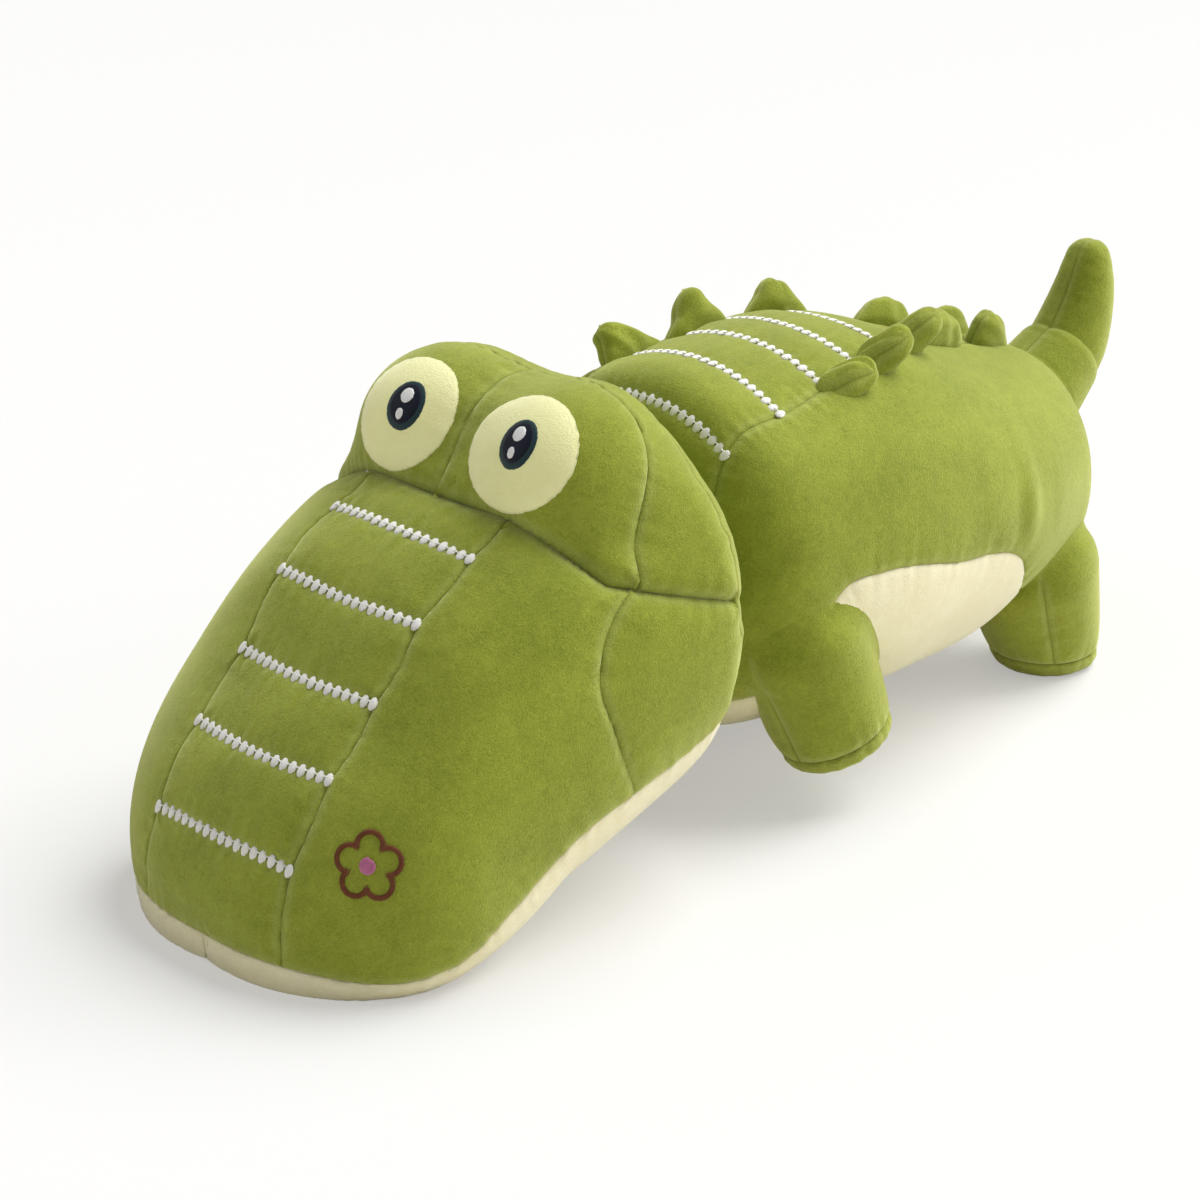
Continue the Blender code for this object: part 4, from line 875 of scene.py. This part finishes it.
# ----------------------------------------------------------
# The spikes: small stuffed triangles of two layers, sewn shut along their rounded edge and caught in the
# seams of the back, five on each side. The left ones flop over, and the last two of a side are low mounds.
# A spike's table holds its start and end along the body, its height, and how far it leans out and back.
# ----------------------------------------------------------
SPIKES = {
    "spike_right": ((0.098, 0.225, 0.0700, 0.05, -0.6), (0.225, 0.355, 0.0600, 0.1, 0.1),
                    (0.380, 0.505, 0.0520, 0.1, 0), (0.576, 0.704, 0.0474, 0.25, 0.1),
                    (0.730, 0.831, 0.0434, 0.2, 0)),
    "spike_left": ((0.236, 0.298, 0.0720, 0.6, 1.5), (0.342, 0.402, 0.0780, 0.35, 0.75),
                   (0.452, 0.514, 0.0800, 0.25, 0.6), (0.560, 0.715, 0.0560, 0.1, -0.2),
                   (0.740, 0.850, 0.0560, 0.05, -0.3)),
}
SPIKE_LINES = {"spike_right": 0.85, "spike_left": 1.0}
SPIKE_THICKS = {"spike_right": 0.018, "spike_left": 0.019}
SPIKE_ROWS = (0.0, 0.2, 0.48, 0.76, 1.0)
SPIKE_BREADTHS = {"spike_right": (1.0, 0.82, 0.56, 0.38, 0.26), "spike_left": (0.9, 0.92, 0.86, 0.76, 0.6),
                  "mound": (1.0, 0.92, 0.76, 0.56, 0.4)}
SPIKE_SWELLS = (0.75, 1.0, 1.0, 0.88, 0.7)
SPIKE_ROOT = 0.003
SPIKE_STEPS, SPIKE_AROUND = 28, 72
BODY_TOP = (0.1, 0.3)


def shell_of(points, faces):
    """The faces of a form or piece, ready to be met by rays."""
    return BVHTree.FromPolygons([Vector(point) for point in points], faces)


body_shell = shell_of(into_frame(body.sewn_points), body.tris.tolist())
head_shell = shell_of(into_frame(head.sewn_points), head.tris.tolist())


def laid_down(shell, points, ways, reach=0.03):
    """The points of a shell under given points, looking back along their outward ways."""
    found = [shell.ray_cast(Vector(point + way * reach), Vector(-way)) for point, way in zip(points, ways)]
    return np.array([hit[0] if hit[0] is not None else point for hit, point in zip(found, points)])


def up_way(outside, points):
    """The outward way of a form at given points."""
    shifts = np.eye(3) * 0.002
    slopes = np.stack([outside(*(points + shift).T) - outside(*(points - shift).T) for shift in shifts], -1)
    return slopes / np.linalg.norm(slopes, axis=1, keepdims=True)


def on_top(outside, x, along, low, high):
    """Points on a form straight above places of its middle plane."""
    top = last_inside(lambda z: outside(x, along, z) < 0, 0 * x + low, 0 * x + high)
    return np.stack([x, along, top], -1)


def stacked_faces(rings_count, around, turned=False):
    """Faces of stacked rings of points. A point of its own closes each end, and the two come last."""
    end, faces = rings_count * around, []
    for i in range(rings_count - 1):
        for j in range(around):
            a, b = i * around + j, i * around + (j + 1) % around
            c, d = b + around, a + around
            faces.append((a, d, c, b) if turned else (a, b, c, d))
    pairs = [(j, (j + 1) % around) for j in range(around)]
    faces += [(j, k, end) if turned else (k, j, end) for j, k in pairs]
    pairs = [(end - around + j, end - around + k) for j, k in pairs]
    return faces + [(k, j, end + 1) if turned else (j, k, end + 1) for j, k in pairs]


for word, table in SPIKES.items():
    side = -1 if "right" in word else 1
    for number, (start, end, height, lean_out, lean_back) in enumerate(table, 1):
        start, end = BODY_START + start * BODY_LENGTH, BODY_START + end * BODY_LENGTH
        height = height * BODY_LENGTH
        middle, half = (start + end) / 2, (end - start) / 2
        line = side * SPIKE_LINES[word]
        centre = on_top(body_outside, line * back_half(np.array([middle])), np.array([middle]), *BODY_TOP)
        out = up_way(body_outside, centre)[0]
        lean = out + lean_out * np.cross((0, side, 0), out) + lean_back * np.array([0, 1, 0])
        lean /= np.linalg.norm(lean)
        across = np.cross((0, 1, 0), lean)
        across /= np.linalg.norm(across)
        rows = 1 - (1 - np.linspace(0, 1, SPIKE_STEPS)) ** 1.7
        turns = 2 * math.pi * np.arange(SPIKE_AROUND) / SPIKE_AROUND
        row, turn = [item.ravel() for item in np.meshgrid(rows[:-1], turns, indexing="ij")]
        breadth = follow(SPIKE_ROWS, SPIKE_BREADTHS["mound" if number > 3 else word], row)
        breadth = breadth * round_end(1 - row, 0.3)
        breadth *= 1 - 0.07 * np.exp(-(np.sin(turn) / 0.14) ** 2)
        thick = follow(SPIKE_ROWS, SPIKE_SWELLS, row) * round_end(1 - row, 0.25) * SPIKE_THICKS[word] / 2
        along = middle + half * breadth * np.cos(turn)
        depth = thick * np.sign(np.sin(turn)) * np.abs(np.sin(turn)) ** 0.8
        dents = rough(np.stack([along, row * height, 0 * row], -1), 0.014, 40 + number)
        depth += 0.0005 * dents * (row > 0.1)
        base = on_top(body_outside, line * back_half(along) + across[0] * depth, along, *BODY_TOP)
        ways = up_way(body_outside, base)
        base = laid_down(body_shell, into_frame(base), ways) - ways * SPIKE_ROOT
        points = base + np.outer(row * (height + SPIKE_ROOT), lean)
        points = points + np.outer(depth * (row > 0), (0, 0, across[2]))
        tip = points[-SPIKE_AROUND:].mean(0) + lean * 0.001
        points = np.concatenate([points, [points[:SPIKE_AROUND].mean(0), tip]])
        faces = stacked_faces(SPIKE_STEPS - 1, SPIKE_AROUND)
        corner, second, third = points[list(faces[0][:3])]
        if np.cross(second - corner, third - corner) @ (points[0] - points[:SPIKE_AROUND].mean(0)) < 0:
            faces = [face[::-1] for face in faces]
        # Near the sewn edge this gives the plush a painted highlight beside it and painted shade on it.
        seam = np.append(np.exp(-np.abs(np.sin(turn)) * 5) * (np.abs(np.sin(turn)) < 0.9), [0, 1])
        spike = new_piece("%s_cover_%d" % (word, number), points, faces, green_plush, seam)
        dress(spike, "body", "%s_%d" % (word, number))

# ----------------------------------------------------------
# The rows across snout and back: small ovals of silvery satin thread, embroidered on one thread in a
# valley of the plush. Each oval is wound from a few strands.
# ----------------------------------------------------------
BEAD_PITCH = 0.0062
BEAD_BREADTH = 0.0090
BEAD_LENGTH = 0.0048
STRANDS = 6
STRAND_RADIUS = 0.00045
THREAD_HEIGHT = 0.0014
ROW_INSET, ROW_LIFT = 0.0005, 0.0002
SNOUT_TOP = (0.03, 0.32)


def thread_finish(name, colour, dark, shine=0.5, gloss=0.4):
    """Satin thread: fine strands with a soft shine along them."""
    material, tree = new_material(name)
    place = tree.add("ShaderNodeTexCoord", output="Object")
    strand, mottle = tree.noise(place, 1500.0, 2.0), tree.noise(place, 260.0, 2.0)
    close_material(tree, strand, 0.4, 0.0002, {
        "Base Color": tree.mixed(strand * 0.6 + mottle * 0.4, dark, colour),
        "Roughness": 1 - (strand * 0.2 + shine), "Specular IOR Level": gloss, "Sheen Weight": 0.05})
    return material


silver_thread = thread_finish("silver_thread", (0.97, 0.96, 0.93, 1), (0.74, 0.73, 0.68, 1))


def geometry_tree(name, sizes):
    """A tree of geometry nodes that is given a path, a few sizes and a material."""
    nodes = bpy.data.node_groups.new(name, "GeometryNodeTree")
    nodes.interface.new_socket("Geometry", in_out="INPUT", socket_type="NodeSocketGeometry")
    for label, value in sizes.items():
        nodes.interface.new_socket(label, in_out="INPUT", socket_type="NodeSocketFloat").default_value = value
    nodes.interface.new_socket("Material", in_out="INPUT", socket_type="NodeSocketMaterial")
    nodes.interface.new_socket("Geometry", in_out="OUTPUT", socket_type="NodeSocketGeometry")
    return Tree(nodes)


def input_wire(tree, label):
    return tree.add("NodeGroupInput", output=label)


def joined(tree, parts):
    join = tree.nodes.nodes.new("GeometryNodeJoinGeometry")
    for part in parts:
        tree.nodes.links.new(part.socket, join.inputs[0])
    return Wire(tree, join.outputs[0])


def path_stops(tree):
    """The path as a curve, the points set along it, and how an instance lies there: its X along the path and
    its Z out of the cloth."""
    line = tree.add("GeometryNodeMeshToCurve", inputs={"Mesh": input_wire(tree, "Geometry")})
    stops = tree.add("GeometryNodeResampleCurve", {"mode": "LENGTH"},
                     {"Curve": line, "Length": input_wire(tree, "Pitch")})
    run = tree.add("GeometryNodeInputTangent")
    out = tree.add("GeometryNodeInputNamedAttribute", {"data_type": "FLOAT_VECTOR"}, {"Name": "out"})
    turn = tree.add("FunctionNodeAlignRotationToVector", {"axis": "Z"}, {"Vector": out})
    turn = tree.add("FunctionNodeAlignRotationToVector", {"axis": "X", "pivot_axis": "Z"},
                    {"Rotation": turn, "Vector": run})
    return line, stops, turn


def close_geometry(tree, geometry):
    real = tree.add("GeometryNodeRealizeInstances", inputs={"Geometry": geometry})
    smooth = tree.add("GeometryNodeSetShadeSmooth", inputs={"Geometry": real})
    dyed = tree.add("GeometryNodeSetMaterial", inputs={
        "Geometry": smooth, "Material": input_wire(tree, "Material")})
    tree.add("NodeGroupOutput", inputs={"Geometry": dyed})


def grown(name, tree, points, outs, material, sizes=None, closed=False):
    """Run a tree of nodes on a path that lies on the cloth, and keep the mesh that it makes."""
    mesh = bpy.data.meshes.new(name)
    count = len(points)
    edges = [(i, i + 1) for i in range(count - 1)] + ([(count - 1, 0)] if closed else [])
    mesh.from_pydata(points.tolist(), edges, [])
    out = mesh.attributes.new("out", "FLOAT_VECTOR", "POINT")
    out.data.foreach_set("vector", outs.astype(np.float32).ravel())
    path = bpy.data.objects.new(name + "_path", mesh)
    scene.collection.objects.link(path)
    modifier = path.modifiers.new("grow", "NODES")
    modifier.node_group = tree.nodes
    values = {"Material": material, **(sizes or {})}
    for item in tree.nodes.interface.items_tree:
        if item.item_type == "SOCKET" and item.in_out == "INPUT" and item.name in values:
            modifier[item.identifier] = values[item.name]
    graph = bpy.context.evaluated_depsgraph_get()
    made = bpy.data.meshes.new_from_object(path.evaluated_get(graph))
    bpy.data.objects.remove(path)
    made.name = name
    if not len(made.materials):
        made.materials.append(material)
    made.shade_smooth()
    piece = bpy.data.objects.new(name, made)
    scene.collection.objects.link(piece)
    return piece


rows_tree = geometry_tree("satin_oval_row", {
    "Pitch": BEAD_PITCH, "Oval Breadth": BEAD_BREADTH, "Oval Length": BEAD_LENGTH,
    "Strand Radius": STRAND_RADIUS})
ball = rows_tree.add("GeometryNodeMeshUVSphere", inputs={"Segments": 6, "Rings": 6, "Radius": 1.0})
oval_parts = []
for index in range(STRANDS):
    place = (index - (STRANDS - 1) / 2) / (STRANDS / 2)
    reach = math.sqrt(1 - place ** 2)
    size = rows_tree.add("ShaderNodeCombineXYZ", inputs={
        "X": input_wire(rows_tree, "Oval Length") * (0.62 / STRANDS),
        "Y": input_wire(rows_tree, "Oval Breadth") * (reach / 2),
        "Z": input_wire(rows_tree, "Strand Radius") * (1.0 + 1.2 * reach)})
    shift = rows_tree.add("ShaderNodeCombineXYZ", inputs={
        "X": input_wire(rows_tree, "Oval Length") * (place / 2), "Y": 0.0, "Z": 0.0003 + 0.0006 * reach})
    oval_parts.append(rows_tree.add("GeometryNodeTransform", inputs={
        "Geometry": ball, "Translation": shift, "Scale": size}))
line, stops, turn = path_stops(rows_tree)
ovals = rows_tree.add("GeometryNodeInstanceOnPoints", inputs={
    "Points": stops, "Instance": joined(rows_tree, oval_parts), "Rotation": turn})
thread_round = rows_tree.add("GeometryNodeCurvePrimitiveCircle", inputs={
    "Resolution": 6, "Radius": STRAND_RADIUS})
thread = rows_tree.add("GeometryNodeCurveToMesh", inputs={"Curve": line, "Profile Curve": thread_round})
raised = rows_tree.add("GeometryNodeTransform", inputs={
    "Geometry": thread, "Translation": (0, 0, THREAD_HEIGHT)})
close_geometry(rows_tree, joined(rows_tree, (ovals, raised)))


def add_oval_row(name, body, outside, shell, half_width, along, heights):
    """One row of ovals over a form, from seam to seam."""
    points = on_top(outside, (half_width - ROW_INSET) * across, along, *heights)
    outs = up_way(outside, points)
    feet = laid_down(shell, into_frame(points), outs)
    row = grown(name, rows_tree, feet + outs * ROW_LIFT, outs, silver_thread)
    dress(row, body, name.replace("oval", "bead"))


across = np.linspace(-1, 1, 61)
for number, (start, bow) in enumerate(SNOUT_ROWS, 1):
    add_oval_row("snout_oval_row_%d" % number, "head", head_outside, head_shell, SNOUT_PANEL_HALF,
                 HEAD_LENGTH * (start + bow * across ** 2), SNOUT_TOP)
for number, share in enumerate(BACK_ROWS, 1):
    along = BODY_START + share * BODY_LENGTH + 0 * across
    add_oval_row("back_oval_row_%d" % number, "body", body_outside, body_shell, back_half(along), along,
                 BODY_TOP)

# ----------------------------------------------------------
# The eyes: a disc of pale plush cut with a fuzzy edge and sewn on each dome, and on it a pupil in dark
# satin stitch with a teal rim and two white lights.
# ----------------------------------------------------------
EYE_PATCH_CENTRE = (0.048, 0.2, 0.251)
EYE_PATCH_RADII = (0.0358, 0.0338)
PUPIL_CENTRE = (0.046, 0.195, 0.2575)
RIM_RADII, PUPIL_RADII = (0.0125, 0.0150), (0.0098, 0.0122)
LIGHTS = (("glint", 0.0052, (0.0041, 0.0046)), ("small_glint", -0.0060, (0.0024, 0.0033)))
EYE_SIDES = (("right", -1, 0.005, 0.0065), ("left", 1, 0, 0.004))
EYE_TILT = math.radians(36.0)
eye_over = np.array([0, math.sin(EYE_TILT), math.cos(EYE_TILT)])
eye_across = np.array([1.0, 0, 0])
eye_facing = np.cross(eye_across, eye_over)
if eye_facing @ np.array([0, -1, 0.5]) < 0:
    eye_facing = -eye_facing
eye_plush = plush("eye_plush", ((0.86, 0.84, 0.36, 1), (0.97, 0.96, 0.52, 1), (0.98, 0.98, 0.76, 1)), 0.35)
pupil_dark = thread_finish("pupil_thread", (0.012, 0.015, 0.03, 1), (0.004, 0.005, 0.012, 1), gloss=0.12)
pupil_teal = thread_finish("pupil_rim_thread", (0.02, 0.055, 0.06, 1), (0.008, 0.02, 0.024, 1), gloss=0.2)
white_thread = thread_finish("light_thread", (0.88, 0.88, 0.86, 1), (0.62, 0.62, 0.62, 1), 0.4)
chance = np.random.default_rng(11)


def disc_piece(name, centre, shell, outline, lift, thick, crown, material, rows=26, around=120, edge=0.0):
    """A flat embroidered or cut shape laid on the cloth, crowned in its middle and closed underneath."""
    turns = 2 * math.pi * np.arange(around) / around
    shares = np.append(np.linspace(0, 1, rows)[1:] ** 0.75, 1.0)
    reach = outline(turns)
    points, seam = [], []
    for index, share in enumerate(shares):
        under = index == len(shares) - 1
        spread = (reach * share)[:, None]
        flat = centre + spread * (np.outer(np.cos(turns), eye_across) + np.outer(np.sin(turns), eye_over))
        ways = np.tile(eye_facing, (around, 1))
        feet = laid_down(shell, flat, ways, 0.05)
        rise = lift if under else lift + thick * (1 - share ** 10) ** 0.5 + crown * (1 - share ** 2)
        if edge and share > 0.9 and not under:
            rise = rise + edge * chance.uniform(-1, 1, around)
            feet = feet + np.outer(edge * chance.uniform(-1, 1, around), eye_across)
        rise = np.broadcast_to(rise, around)
        points.append(feet + ways * rise[:, None])
        # On a plush disc this paints a pale highlight and painted shade near its edge.
        seam.append(np.full(around, share ** 14))
    middle = laid_down(shell, np.array([centre]), np.array([eye_facing]), 0.05)[0]
    ends = [[middle + eye_facing * (lift + thick + crown)], [middle + eye_facing * lift]]
    points = np.concatenate(points + ends)
    seam = np.append(np.concatenate(seam), [0, 0])
    faces = stacked_faces(len(shares), around, turned=True)
    if np.cross(points[1] - points[0], points[-2] - points[0]) @ eye_facing < 0:
        faces = [face[::-1] for face in faces]
    piece = new_piece(name, points, faces, material, seam)
    return piece, shell_of([vert.co for vert in piece.data.vertices],
                           [tuple(face.vertices) for face in piece.data.polygons])


def oval_outline(half_width, half_height, ragged=0.0):
    """An oval's reach at each turn, with an edge as ragged as its stitches."""
    def outline(turns):
        reach = 1 / np.sqrt((np.cos(turns) / half_width) ** 2 + (np.sin(turns) / half_height) ** 2)
        return reach + ragged * chance.uniform(-1, 1, len(turns))
    return outline


for word, side, patch_shift, pupil_shift in EYE_SIDES:
    centre = into_frame([side * EYE_PATCH_CENTRE[0] + patch_shift, *EYE_PATCH_CENTRE[1:]])
    patch, patch_shell = disc_piece("eye_disc_" + word, centre, head_shell,
                                    oval_outline(*EYE_PATCH_RADII, 0.00025), 0.0001, 0.0011, 0.0004,
                                    eye_plush, edge=0.0002)
    dress(patch, "head", "eye_patch_" + word)
    centre = into_frame([side * PUPIL_CENTRE[0] + pupil_shift, *PUPIL_CENTRE[1:]])
    rim, rim_shell = disc_piece("pupil_rim_" + word, centre, patch_shell, oval_outline(*RIM_RADII, 0.00016),
                                -0.0004, 0.0012, 0.0003, pupil_teal, 14)
    dress(rim, "head", "pupil_" + word)
    pupil, pupil_shell = disc_piece("pupil_" + word + "_satin", centre + eye_over * 0.0006, rim_shell,
                                    oval_outline(*PUPIL_RADII, 0.0001), -0.0002, 0.0006, 0.0004,
                                    pupil_dark, 14)
    dress(pupil, "head")
    for name, rise, radii in LIGHTS:
        light, _ = disc_piece("%s_%s_satin" % (name, word), centre + eye_over * rise, pupil_shell,
                              oval_outline(*radii, 0.0002), -0.0001, 0.0005, 0.0003, white_thread, 10, 60)
        dress(light, "head", "%s_%s" % (name, word))

# ----------------------------------------------------------
# The flower on the snout's left side: a five-petal outline in brown satin stitch, and a pink knot.
# ----------------------------------------------------------
FLOWER_PLACE = (0.082, 0.052, 0.077)
FLOWER_RADIUS = 0.0145
FLOWER_WAVE = 0.0035
STITCH_PITCH, STITCH_LENGTH, STITCH_RADIUS = 0.00052, 0.0036, 0.00036
KNOT_TURNS, KNOT_RADII = 4, (0.0004, 0.0042)
KNOT_STITCH = {"Stitch Length": 0.0018, "Stitch Radius": 0.0004}
brown_thread = thread_finish("brown_thread", (0.26, 0.085, 0.03, 1), (0.10, 0.026, 0.008, 1), 0.45, 0.25)
pink_thread = thread_finish("pink_thread", (0.72, 0.27, 0.46, 1), (0.42, 0.10, 0.23, 1), 0.4)

flower_start, flower_way = np.array([FLOWER_PLACE]), np.array([1, -1, 0]) / math.sqrt(2)
flower_reach = last_inside(lambda far: head_outside(*(flower_start + far * flower_way).T) < 0, -0.03, 0.15)
flower_centre = flower_start + flower_reach * flower_way
flower_out = up_way(head_outside, flower_centre)[0]
flower_across = np.cross((0, 0, 1), flower_out)
flower_across /= np.linalg.norm(flower_across)
flower_over = np.cross(flower_out, flower_across)

stitch_tree = geometry_tree("satin_stitch", {
    "Pitch": STITCH_PITCH, "Stitch Length": STITCH_LENGTH, "Stitch Radius": STITCH_RADIUS})
ball = stitch_tree.add("GeometryNodeMeshUVSphere", inputs={"Segments": 6, "Rings": 5, "Radius": 1.0})
size = stitch_tree.add("ShaderNodeCombineXYZ", inputs={
    "X": input_wire(stitch_tree, "Stitch Radius"), "Y": input_wire(stitch_tree, "Stitch Length") * 0.5,
    "Z": input_wire(stitch_tree, "Stitch Radius") * 2.6})
stitch = stitch_tree.add("GeometryNodeTransform", inputs={"Geometry": ball, "Scale": size})
line, stops, turn = path_stops(stitch_tree)
uneven = stitch_tree.add("FunctionNodeRandomValue", {"data_type": "FLOAT"}, {2: 0.88, 3: 1.08, "Seed": 4}, 1)
stitches = stitch_tree.add("GeometryNodeInstanceOnPoints", inputs={
    "Points": stops, "Instance": stitch, "Rotation": turn,
    "Scale": stitch_tree.add("ShaderNodeCombineXYZ", inputs={"X": 1.0, "Y": uneven, "Z": 1.0})})
close_geometry(stitch_tree, stitches)


def flower_path(reach, turns):
    flat = into_frame(flower_centre) + np.outer(reach * np.sin(turns), flower_across)
    flat = flat + np.outer(reach * np.cos(turns), flower_over)
    ways = np.tile(flower_out, (len(turns), 1))
    return laid_down(head_shell, flat, ways), ways


turns = np.linspace(0, 2 * math.pi, 240, endpoint=False)
petals = np.abs(np.cos(2.5 * turns)) ** 0.6
feet, ways = flower_path(FLOWER_RADIUS + FLOWER_WAVE * (2 * petals - 1), turns)
outline = grown("flower_outline_satin", stitch_tree, feet + ways * 0.0003, ways, brown_thread, closed=True)
dress(outline, "head", "flower_outline")
turns = np.linspace(0, 2 * math.pi * KNOT_TURNS, 160)
feet, ways = flower_path(np.linspace(*KNOT_RADII, 160), turns)
centre = grown("flower_centre_knot", stitch_tree, feet + ways * 0.0006, ways, pink_thread, KNOT_STITCH)
dress(centre, "head", "flower_centre")
